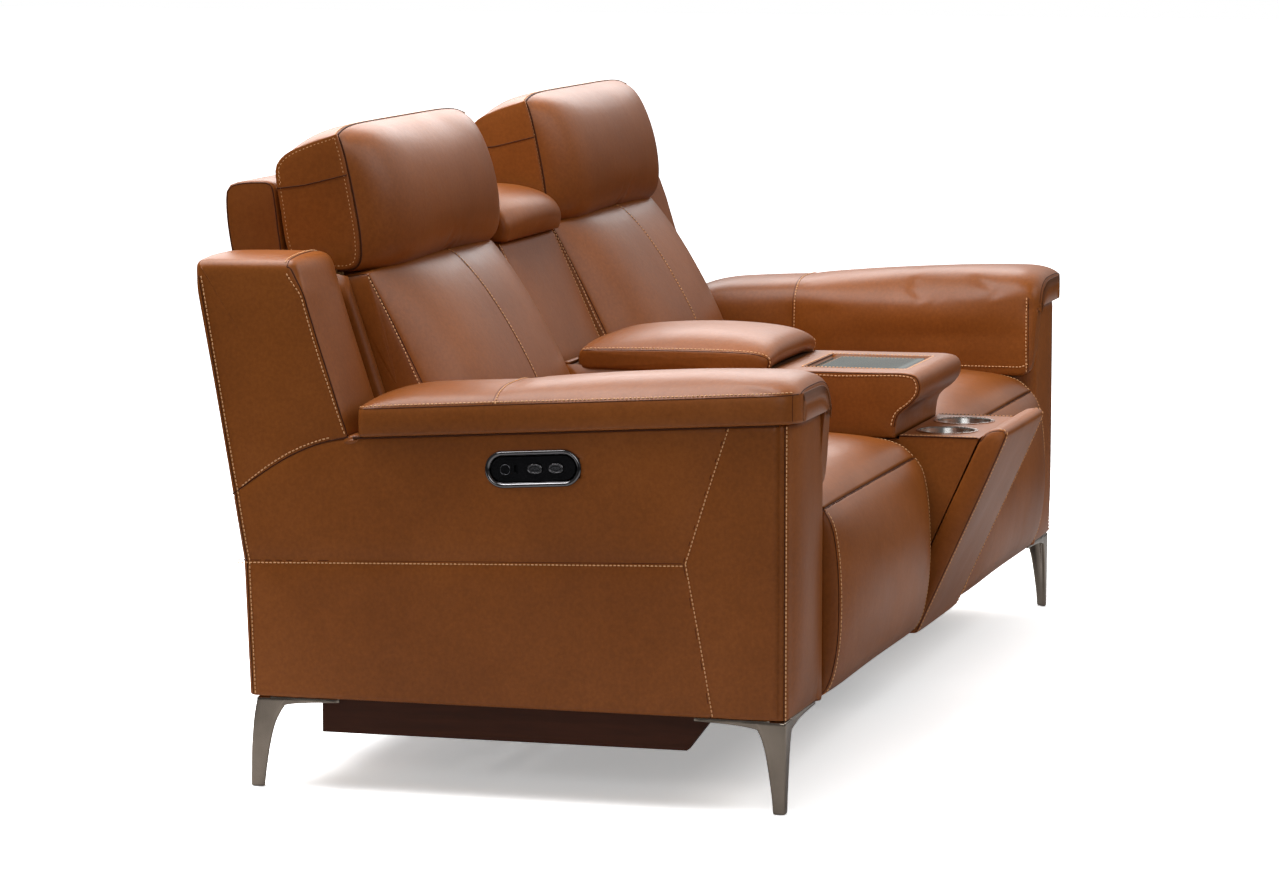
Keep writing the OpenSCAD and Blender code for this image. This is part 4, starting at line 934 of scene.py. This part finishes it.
def arm_cover():
    """Arm pad and apron in one leather cover, carried from front to rear. Its outer line goes
    up the band, over a flat crown (a superellipse), rolls down inside the arm and ends under
    the apron; the inner line goes back below the pad. Quarter circles turn both front corners
    in, and the crown falls as a quarter ellipse towards either end."""
    q_end = np.array([0, 0.4, 1.6, 3.6, 6.4, 10, 14, 19, 25, 32, 40, 49]) * MM
    y = np.concatenate([PAD_FRONT + q_end,
                        np.arange(PAD_FRONT + 0.058, 0.434, 0.0088), [CROSS_SEAM],
                        np.arange(0.446, PAD_REAR - 0.055, 0.0088), PAD_REAR - q_end[::-1]])
    front_q, rear_q = y - PAD_FRONT, PAD_REAR - y
    xo = PAD_OUT + quarter(front_q, 0.034) + quarter(rear_q, 0.012)
    xi = PAD_IN + APRON_IN * (1 - fade((y - 0.36) / 0.10)) - quarter(front_q, 0.022)
    crown = CROWN * np.sqrt(1 - (1 - np.clip(front_q / 0.055, 0, 1)) ** 2) \
        * np.sqrt(1 - (1 - np.clip(rear_q / 0.090, 0.02, 1)) ** 2)
    low = (APRON - pad_under(y) + quarter(y + 0.008, 0.030)) * fade((y + 0.014) / 0.009)
    xo, xi, crown, low = (v[:, None] for v in (xo, xi, crown, low))
    xm = (PAD_OUT + PAD_IN) / 2
    under = np.array([(7, 0), (2.5, 1.0), (0.7, 4)]).T * MM
    h = np.linspace(0.009, 0.037, 5)
    band = np.stack([xo + 0.0012 * (1 - np.sin(math.pi * (h - 0.004) / 0.038)), h + 0 * xo], -1)
    start = np.stack([xo + under[0], under[1] + 0 * xo], -1)
    edge = np.stack([xo + 0.0028, BAND + 0 * xo], -1)
    th = np.radians(np.linspace(0, 90, 15))[1:]
    half = xm - xo - 0.0028
    top = np.stack([xm - half * np.cos(th) ** 0.72, BAND + crown * np.sin(th) ** 1.15], -1)
    th = np.radians(np.linspace(90, 0, 17))[1:]
    drop = 0.056
    zr = BAND + crown - drop
    roll = np.stack([xm + (xi - xm) * np.cos(th) ** 0.60, zr + drop * np.sin(th) ** 0.85], -1)
    f = np.linspace(0, 1, 12)[1:]
    down = np.stack([xi + 0.0025 * np.sin(math.pi * f) * (low < -0.05),
                     zr + (low + 0.006 - zr) * f], -1)
    foot = np.stack([xi - np.array([1.2, 5, 10]) * MM, low + np.array([2.2, 0.4, 0]) * MM], -1)
    outer = np.concatenate([start, band, edge, top, roll, down, foot], 1)
    k = start.shape[1] + band.shape[1] + 1 + top.shape[1] + roll.shape[1]
    xa = np.minimum(-ARM_IN, xi - 0.0015)
    f = np.linspace(0, 1, k)
    shelf = np.stack([xo + 0.010 + (xa - xo - 0.010) * f, 0.0002 + 0 * xo + 0 * f], -1)
    f = np.linspace(0, 1, outer.shape[1] - k + 1)[1:]
    inside = np.stack([xa + 0.006 * np.maximum(f - 0.85, 0) / 0.15, (low + 0.001) * f], -1)
    inner = np.concatenate([shelf, inside], 1)
    ring = np.concatenate([outer, inner[:, ::-1]], 1)
    yy = np.broadcast_to(y[:, None], ring.shape[:2])
    ring = np.stack([ring[:, :, 0], yy + FRONT, ring[:, :, 1] + pad_under(yy)], -1)
    return ring, y, start.shape[1] + band.shape[1], k, outer.shape[1]


pad_ring, pad_y, seam_j, roll_j, half_n = arm_cover()
arm = Cover("left_arm_cover", pad_ring, ladder=True)
last = arm.rows - 1
cross = int(np.argmin(np.abs(pad_y - CROSS_SEAM)))
held = arm.band(half_n, arm.n) + arm.band(0, 3) + arm.band(seam_j, seam_j + 1)
held += arm.band(roll_j + 4, half_n) + arm.points((0, 1, cross, last - 1, last), range(half_n))
arm.puff(held, 0.007)
twins(subdivide(arm.object), "sofa", "left_arm_pad", "arm_inner_panels", fill=0.75)
both_sides(seam, "sofa", arm.cross_line(seam_j, 3, last - 1))
both_sides(stitch, "sofa", arm.cross_line(seam_j, 5, last - 2, 0.0045))
both_sides(seam, "sofa", arm.end_line(2, seam_j, roll_j - 2))
for row, j0, j1, shift in ((5, 2, seam_j, None), (cross, seam_j, roll_j + 9, -0.004),
                           (7, roll_j - 3, half_n - 3, 0.004)):
    both_sides(seam, "sofa", arm.end_line(row, j0, j1), r=0.0008)
    if shift:
        both_sides(stitch, "sofa", arm.end_line(row, j0, j1, shift))
both_sides(stitch, "sofa", arm.cross_line(half_n - 5, 7, last - 4))

fold_line = side((640, 526), (648, 517), (664, 513), (674, 518), (670, 528), (652, 532))
board_twins("left_arm_fold", fold_line, -HALF_W - 0.0018, FACE_IN, "sofa", bulge=0.002,
            cell=0.005, round0=even(0.006))

wing_edge = side((662, 527.5, 2), (706, 517), (753, 497), (800, 467), (843, 432, 2), (866, 570),
                 (884, 670), (899, 752), (904, 782), (880, 784), (770, 785), (741, 786),
                 (733, 748), (712, 680), (686, 600))
wing_mid = wing_edge + np.array([(0, 0)] * 9 + [(0, 0), (0, 2), (0, 5), (0, 5), (-6, 5),
                                 (-11, 0), (-11, -2), (-8, -4)]) * MM


def top_round(p):
    """Radius of 2.5 mm along the stitched front, rear and lower edges, and 16 over the top."""
    return 0.0025 + 0.014 * fade((p[:, 1] - 0.732) / 0.045)


def inner_round(p):
    """Radius of 3 mm low down, where the wing meets the arm, and of 30 mm above."""
    return 0.003 + 0.027 * fade((p[:, 1] - 0.50) / 0.06)


wing = Pad("left_wing", wing_edge, wing_mid, -HALF_W, -0.820, marks=(0.5, 5.5, 12.5), power=2.6,
           bulge=0.0015, round0=top_round, round1=inner_round, rings=9)
corner = wing.at[12.5]
held = wing.points(range(-wing.first, 4), range(wing.n)) + wing.band(0, wing.at[5.5] + 11)
wing.puff(held + wing.band(corner, corner + 1), 0.008)
twins(subdivide(wing.object), "sofa", "left_wing_pad", fill=CUSHION_FILL)
front = wing.n + wing.at[0.5]
both_sides(seam, "sofa", wing.end_line(1, corner, front), r=0.0012)
both_sides(stitch, "sofa", wing.end_line(0, corner, front, -0.0045))
both_sides(seam, "sofa", wing.cross_line(corner, 1, wing.rows - 3), r=0.0012)
both_sides(stitch, "sofa", wing.cross_line(corner, 2, wing.rows - 3, -0.0045))
both_sides(stitch, "sofa", wing.end_line(0, 3, wing.at[5.5] - 2, -0.0035))

# ---------------------------------------------------------------- legs

LEG_X = -0.998


def corner_leg(name, corner, way, widths):
    """Cast leg under a corner: its section is an L with a hollow diagonal. corner gives the
    corner's place from the front, and widths the section's width, both in mm as (height,
    value). way is 1 where the corner lies in front and -1 where it lies behind."""
    z = np.array([0, 1.2, 5, 20, 38, 56, 74, 90, 103, 113, 121, 127, 132, 136.6])
    a = np.interp(z, *np.array(widths, float).T)
    y = np.interp(z, *np.array(corner, float).T)
    a[0] -= 2.0
    one = np.ones_like(a)
    inset = np.where(z < 1, 1.0, 0.0)
    half = [(3.4 * one, 0 * one), (a - 3, 0 * one), (a - 0.8, 0.8 * one), (a, 3 * one),
            (a - 2, 6 * one)]
    hollow = 9 + 0.10 * a
    profile = half + [(hollow, hollow)] + [(v, u) for u, v in half[::-1]] + [(one, one)]
    rings = np.stack([np.stack([LEG_X + (v + inset) * MM,
                                FRONT + (y + way * (u + inset)) * MM, z * MM], -1)
                      for u, v in profile], 1)
    return subdivide(turned_out(shut(name, rings)))


def leg_plate(name, corner, way, length, crosswise):
    """Thin tongue of the leg's casting that runs along the arm's lower edge."""
    line = side((24, 136.8, 2), (24, 116), (40, 123), (74, 128.6), (136, 131.2, 2),
                (136, 136.8, 2))
    tongue = Pad(name, line, line, LEG_X + 0.0004, LEG_X + 0.0054, marks=(0.5, 5.5, 7.5),
                 bulge=0.0002, cell=0.006, rings=3, round0=even(0.0012)).object
    co = points_of(tongue)
    along, across = (co[:, 1] - FRONT) * length / 136.0, co[:, 0] - LEG_X
    if crosswise:
        co[:, 0], co[:, 1] = LEG_X + along, FRONT + corner * MM + way * across
    else:
        co[:, 1] = FRONT + corner * MM + way * along
    set_points(tongue, co)
    return turned_out(tongue)


for o in (
    corner_leg("left_front_leg", [(0, 3.4), (137, 2.6)], 1,
               [(0, 18.6), (20, 20), (50, 24), (93, 31.5), (113, 38), (127, 46), (137, 56)]),
    leg_plate("left_front_leg_tongue", 2.6, 1, 137, False),
    leg_plate("left_front_leg_wing", 2.6, 1, 184, True),
    corner_leg("left_rear_leg", [(0, 821), (60, 820), (105, 816), (132, 811), (137, 811)], -1,
               [(0, 22), (20, 24), (59, 29), (93, 34), (113, 41), (127, 48), (137, 58)]),
    leg_plate("left_rear_leg_tongue", 812, -1, 131, False),
    leg_plate("left_rear_leg_wing", 812, -1, 120, True),
):
    twins(o, "sofa", "legs", material=NICKEL, slot="leg_metal")


def oval(name, body, node, grow, height, width, material, slot):
    """Thin raised ring on the face of a button: its line is the button's outline, grown by a
    few tenths of a millimetre and rounded to a full oval."""
    low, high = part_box(node)
    y, z = (low.y + high.y) / 2, (low.z + high.z) / 2
    ry, rz = (high.y - low.y) / 2 + grow, (high.z - low.z) / 2 + grow
    a = np.linspace(0, 2 * math.pi, 40, endpoint=False)
    b = np.linspace(0, 2 * math.pi, 8, endpoint=False)
    flat_y, flat_z = np.cos(a), np.sin(a)
    if ry > rz:
        cy, cz = np.sign(flat_y) * np.abs(flat_y) ** 0.8 * ry, flat_z * rz
    else:
        cy, cz = flat_y * ry, np.sign(flat_z) * np.abs(flat_z) ** 0.8 * rz
    co = np.stack([(low.x - height + 0.0007) - height * np.sin(b) + 0 * a[:, None],
                   y + cy[:, None] + flat_y[:, None] * width * np.cos(b),
                   z + cz[:, None] + flat_z[:, None] * width * np.cos(b)], -1)
    faces = grid_faces(len(a) + 1, len(b)) % (len(a) * len(b))
    twins(turned_out(mesh_object(name, co, faces.tolist())), body, material=material, slot=slot)


for kind, shape, material, slot in (
        ("ring", (-0.0006, 0.0005, 0.0009), CHROME, "rim_metal"),
        ("mark", (-0.0038, 0.0004, 0.0012), GLOSS, "black_plastic")):
    for use in ("left_recline", "left_headrest"):
        oval("%s_%s" % (use, kind), use + "_switch", use + "_rocker", *shape, material, slot)
oval("left_power_ring", "left_power", "left_power_button", -0.0008, 0.0005, 0.0005, ROCKER,
     "rocker_metal")

# ---------------------------------------------------------------- inner sides of the arms

inside_outline = side((36, 138, 2), (796, 138, 2), (812, 339), (820, 430), (800, 460), (753, 488),
                      (706, 508), (664, 516), (650, 500), (648, 439, 2), (36, 439, 2))
board_twins("left_arm_inside", inside_outline, -ARM_IN + 0.001, -0.8035, "sofa",
            "arm_inner_panels", marks=(0.5, 2.5), bulge=0.0008, cell=0.014, round1=even(0.005))

# ---------------------------------------------------------------- backs' outer shells

shell_outline = side((772, 300, 2), (804, 262, 2), (830, 299), (848, 443), (906, 720), (924, 800),
                     (929, 862), (922, 880), (896, 885), (858, 886), (849, 882), (845, 850),
                     (834, 765), (808, 560))
shell = board_twins("left_shell", shell_outline, X0 + 0.0005, X1 - 0.0005, "left_back",
                    "left_back_shell", material=SHELL, slot="back_leather", marks=(0.5, 2.5),
                    bulge=0.0012, cell=0.012, round0=even(0.005), round1=even(0.005))
for row in (1, shell.rows - 2):
    both_sides(seam, "left_back", shell.end_line(row, shell.at[2.5], shell.n), r=0.0011)

# Leather over the sides of the back frames, between cushion and shell
cheek_outline = side((618, 402, 2), (732, 744, 2), (770, 752), (830, 764), (836, 764), (830, 730),
                     (806, 560), (786, 420), (760, 336), (700, 332), (644, 350))
for k, x in enumerate((X0 - 0.0015, X1 - 0.0007)):
    board_twins("left_back_side_%d" % (k + 1), cheek_outline, x, x + 0.0022, "left_back",
                bulge=0.0003, marks=(0.5, 2.5), cell=0.014)

# ---------------------------------------------------------------- console

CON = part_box("console_nose")[1].x  # half the console's width
CON_IN = CON - 0.003

board_edge = side((-3, 130, 2), (40, 130, 2), (-104, 446, 2), (-116, 465), (-148, 466),
                  (-150, 456))
board_mid = board_edge + np.array([(-2, 0)] * 2 + [(0, 0)] * 4 + [(0, 1), (-1, 1), (-3, 0)]) * MM
board = Pad("console_board", board_edge, board_mid, -CON_IN, CON_IN, marks=(0.5, 2.5, 4.5),
            power=6, bulge=0.002, cell=0.010)
finish(board.object, "sofa", "console_front_board", fill=0.9)
subdivide(board.object)
board_top = board.at[4.5]
sew_ends(board, "sofa", board_top, board.n, 0.006, 0.0011, board_top + 4, one_side)

nose_edge = side((34, 446, 2), (239, 446, 2), (239, 550, 2), (60, 551), (14, 552), (-6, 546),
                 (-10, 522), (4, 502), (26, 487), (32, 472))
GLASS = (0.034, 0.192, 0.095)  # front, rear and half width of the plate


def recess(body):
    """Pushes the top down inside the rectangle of the glass plate, over a 1.5 mm wide step."""
    x, y, z = np.abs(body[:, :, 0]), body[:, :, 1] - FRONT, body[:, :, 2]
    inside = (y > GLASS[0] - 0.0008) & (y < GLASS[1] + 0.0008) & (x < GLASS[2] + 0.0008)
    body[:, :, 2] = np.where(inside & (z > 0.54), 0.5372, z)
    return body


nose = Pad("console_nose_cover", nose_edge, nose_edge, -CON, CON, marks=(0.5, 2.5, 4.5),
           bulge=0.0015, cell=0.006, stations=(-0.0967, -0.0953, 0.0953, 0.0967),
           round0=even(0.003), round1=even(0.003), top=recess)
finish(nose.object, "sofa", "console_nose", fill=0.95)
nose_top = nose.at[4.5]
for row, way in ((1, 1), (nose.rows - 2, -1)):
    seam("sofa", nose.end_line(row, nose_top, nose.n - 3), r=0.0009)
    stitch("sofa", nose.end_line(row - way, nose_top, nose.n - 3, -way * 0.004))

plate_line = side((34.5, 541, 2), (191.5, 541, 2), (191.5, 547.6), (191.2, 548.6), (189.5, 549.2),
                  (36.5, 549.2), (34.8, 548.6), (34.5, 547.6))
plate = Pad("glass_plate", plate_line, plate_line, -0.0945, 0.0945, marks=(0.5, 2.5),
            bulge=0.0001, cell=0.012, round0=even(0.0012), round1=even(0.0012))
finish(plate.object, "sofa", "console_glass", material=SMOKE, slot="tinted_glass")
ledge_line = side((574, 549.6, 2), (591, 549.6, 2), (591, 553), (585, 554), (577, 553.4),
                  (573, 551.6))
ledge = Pad("console_ledge", ledge_line, ledge_line, -0.157, 0.157, marks=(0.5, 2.5),
            bulge=0.0005, cell=0.01)
finish(ledge.object, "sofa")


def on_top(points, z):
    """A straight-sided path over a flat top, from corners given as (x, from the front) in mm."""
    c = np.array(points, float) * MM
    k = np.arange(len(c))
    t = np.linspace(0, len(c) - 1, 12 * (len(c) - 1) + 1)
    p = np.column_stack([np.interp(t, k, c[:, 0]), np.interp(t, k, c[:, 1]) + FRONT,
                         np.full_like(t, z)])
    return p, np.tile((0, 0, 1.0), (len(p), 1))


def round_glass(x, y0, y1):
    """A rectangle round the plate, in mm."""
    return [(-x, y0), (x, y0), (x, y1), (-x, y1), (-x, y0)]


TRAY_TOP = 0.4502
stitch("sofa", on_top(round_glass(103, 26, 200), 0.5508))
seam("sofa", on_top(round_glass(99.5, 29.5, 196.5), 0.5504), r=0.0008)
for x in (-1, 1):
    edge_x = x * (CON - 0.006) / MM
    seam("sofa", on_top([(edge_x, -100), (edge_x, 27)], TRAY_TOP), r=0.0014)
    stitch("sofa", on_top([(edge_x - x * 5, -98), (edge_x - x * 5, 27)], TRAY_TOP))

lid_edge = side((245, 542, 2), (560, 543, 2), (562, 571), (548, 575), (400, 577), (280, 577),
                (243, 572), (238, 561))
lid_mid = side((246, 552, 2), (560, 552, 2), (563, 574), (546, 593), (400, 606), (286, 602),
               (238, 588), (232, 566))
lid = Pad("console_lid_pad", lid_edge, lid_mid, -CON - 0.001, CON + 0.001,
          marks=(0.5, 2.5, 4.5, 8.5), power=4.0, bulge=0.002)
lid_top = lid.at[4.5]
lid.puff(lid.ends() + lid.band(0, lid_top + 1), 0.008, -CON - 0.003, CON + 0.003)
finish(lid.object, "console_lid", "console_lid", fill=0.8)
subdivide(lid.object)
sew_ends(lid, "console_lid", lid_top, lid.n - 1, 0.0045, sides=one_side)

roll_edge = side((684, 744.4, 2), (862, 744.4, 2), (868, 780), (850, 808), (770, 818), (704, 804),
                 (678, 774))
roll_mid = side((684, 744.4, 2), (862, 744.4, 2), (874, 784), (854, 816), (764, 829), (690, 814),
                (662, 776))
roll = Pad("console_roll_pad", roll_edge, roll_mid, -CON_IN + 0.001, CON_IN - 0.001,
           marks=(0.5, 2.5), power=2.6, bulge=0.004)
roll.puff(roll.ends() + roll.band(0, roll.at[2.5] + 1), 0.010, -CON_IN, CON_IN)
finish(roll.object, "sofa", "console_roll", fill=0.7)
subdivide(roll.object)

panel_edge = side((592, 300, 2), (826, 300, 2), (842, 443), (898, 744, 2), (696, 744, 2),
                  (612, 560), (592, 512))
panel_mid = panel_edge + np.array([(0, 0)] * 9 + [(-7, 2), (-4, 2)]) * MM
panel = Pad("console_back_pad", panel_edge, panel_mid, -CON_IN, CON_IN,
            marks=(0.5, 2.5, 5.5, 7.5), power=3, bulge=0.001, cell=0.012)
finish(panel.object, "sofa", "console_back", fill=0.9)
subdivide(panel.object)
sew_ends(panel, "sofa", panel.at[7.5], panel.n - 4, 0.005, 0.0012, sides=one_side)

# Leather over the sides of the console's box
box_outline = side((46, 109, 2), (589, 109, 2), (589, 549, 2), (242, 549, 2), (242, 443, 2),
                   (46, 443, 2))
board_twins("console_side_left", box_outline, -CON + 0.0003, -0.1553, "sofa", bulge=0.0004,
            marks=(0.5, 2.5, 4.5, 6.5, 8.5, 10.5), cell=0.014)

sew_up()

# ---------------------------------------------------------------- floor, light and camera

FLOOR_SIZE, FLOOR_Z = 60.0, -0.0005
corners = np.array([(-1, -1), (1, -1), (1, 1), (-1, 1)]) * FLOOR_SIZE / 2
floor = mesh_object("floor", np.column_stack([corners, [FLOOR_Z] * 4]), [(0, 1, 2, 3)])
m = new_material("floor_white", (0.82, 0.82, 0.82), 0.9)
t = m.node_tree
# White to the camera; to other rays grey that darkens outward, and darker still in reflections
rays = node(t, "LightPath").outputs
place = node(t, "TexCoord").outputs["Object"]
away = node(t, "VectorMath", {0: place}, operation="LENGTH").outputs["Value"]
grey = sums(t, "MULTIPLY", sums(t, "MULTIPLY_ADD", rays["Is Glossy Ray"], -0.45, 1.0),
            to_range(t, away, 0.72, 0.10, 1.4, 3.0))
tint = node(t, "Mix", {0: rays["Is Camera Ray"], 6: grey, 7: (1.5, 1.5, 1.5, 1)},
            data_type="RGBA").outputs[2]
gain = sums(t, "MULTIPLY", rays["Is Camera Ray"],
            to_range(t, away, 0.35, 1.0, 1.1, 2.6, "SMOOTHSTEP"))
matt = node(t, "BsdfDiffuse", {"Color": tint}).outputs[0]
glow = node(t, "Emission", {"Color": (1, 1, 1, 1), "Strength": gain}).outputs[0]
feed(t, t.nodes["Material Output"],
     {"Surface": node(t, "AddShader", {0: matt, 1: glow}).outputs[0]})
floor.data.materials.append(m)


def lamp(name, place, target, size, power):
    light = bpy.data.lights.new(name, "AREA")
    light.shape = "RECTANGLE"
    light.size, light.size_y = size
    light.energy = power
    o = bpy.data.objects.new(name, light)
    bpy.context.collection.objects.link(o)
    o.location = place
    o.rotation_euler = (Vector(target) - Vector(place)).to_track_quat("-Z", "Y").to_euler()


lamp("top_soft", (-0.6, 1.2, 3.2), (0, 0, 0.4), (3.0, 2.4), 158)
lamp("rear_soft", (2.2, 1.15, 1.95), (-0.7, 0.1, 0.6), (2.6, 1.1), 35)
lamp("front_soft", (0.3, -3.4, 3.2), (0, 0, 0.5), (3.0, 2.0), 54)
lamp("side_soft", (-4.6, -1.2, 2.0), (0, 0, 0.4), (2.4, 1.8), 27)

BACKDROP = (0.88, 0.02, 0.47)
BASE_LIGHT = 0.11
world = bpy.data.worlds.new("studio")
bpy.context.scene.world = world
world.use_nodes = True
t = world.node_tree
# White to the camera and through glass. As a light it is bright behind the sofa, as a studio
# backdrop is, and dim on the camera's side.
rays = node(t, "LightPath").outputs
seen = sums(t, "MAXIMUM", rays["Is Camera Ray"], rays["Is Transmission Ray"])
where = node(t, "TexCoord").outputs["Generated"]
toward = node(t, "VectorMath", {0: where, 1: BACKDROP}, operation="DOT_PRODUCT").outputs["Value"]
dome = to_range(t, toward, 0.0, 1.0, 0.35, 0.88, "SMOOTHSTEP")
height = node(t, "SeparateXYZ", {0: where}).outputs["Z"]
lift = to_range(t, height, 0.0, 1.0, 0.02, 0.42, "SMOOTHSTEP")
strength = node(t, "Mix", {0: seen, 2: sums(t, "MULTIPLY_ADD", dome, lift, BASE_LIGHT), 3: 1.0})
feed(t, t.nodes["Background"], {"Color": (1, 1, 1, 1), "Strength": strength.outputs[0]})

CAMERA_YAW, CAMERA_PITCH = 1.2971, 0.1244
FOCAL_PIXELS, PHOTO_WIDTH = 4800.0, 1279
camera = bpy.data.objects.new("camera", bpy.data.cameras.new("camera"))
bpy.context.collection.objects.link(camera)
camera.location = (-7.595, -1.6312 + FRONT, 1.3934)
camera.rotation_euler = (math.pi / 2 - CAMERA_PITCH, 0, -CAMERA_YAW)
camera.data.sensor_fit = "HORIZONTAL"
camera.data.sensor_width = 36.0
camera.data.lens = FOCAL_PIXELS / PHOTO_WIDTH * 36.0
camera.data.clip_end = 100
bpy.context.scene.camera = camera
bpy.context.scene.view_settings.view_transform = "Standard"
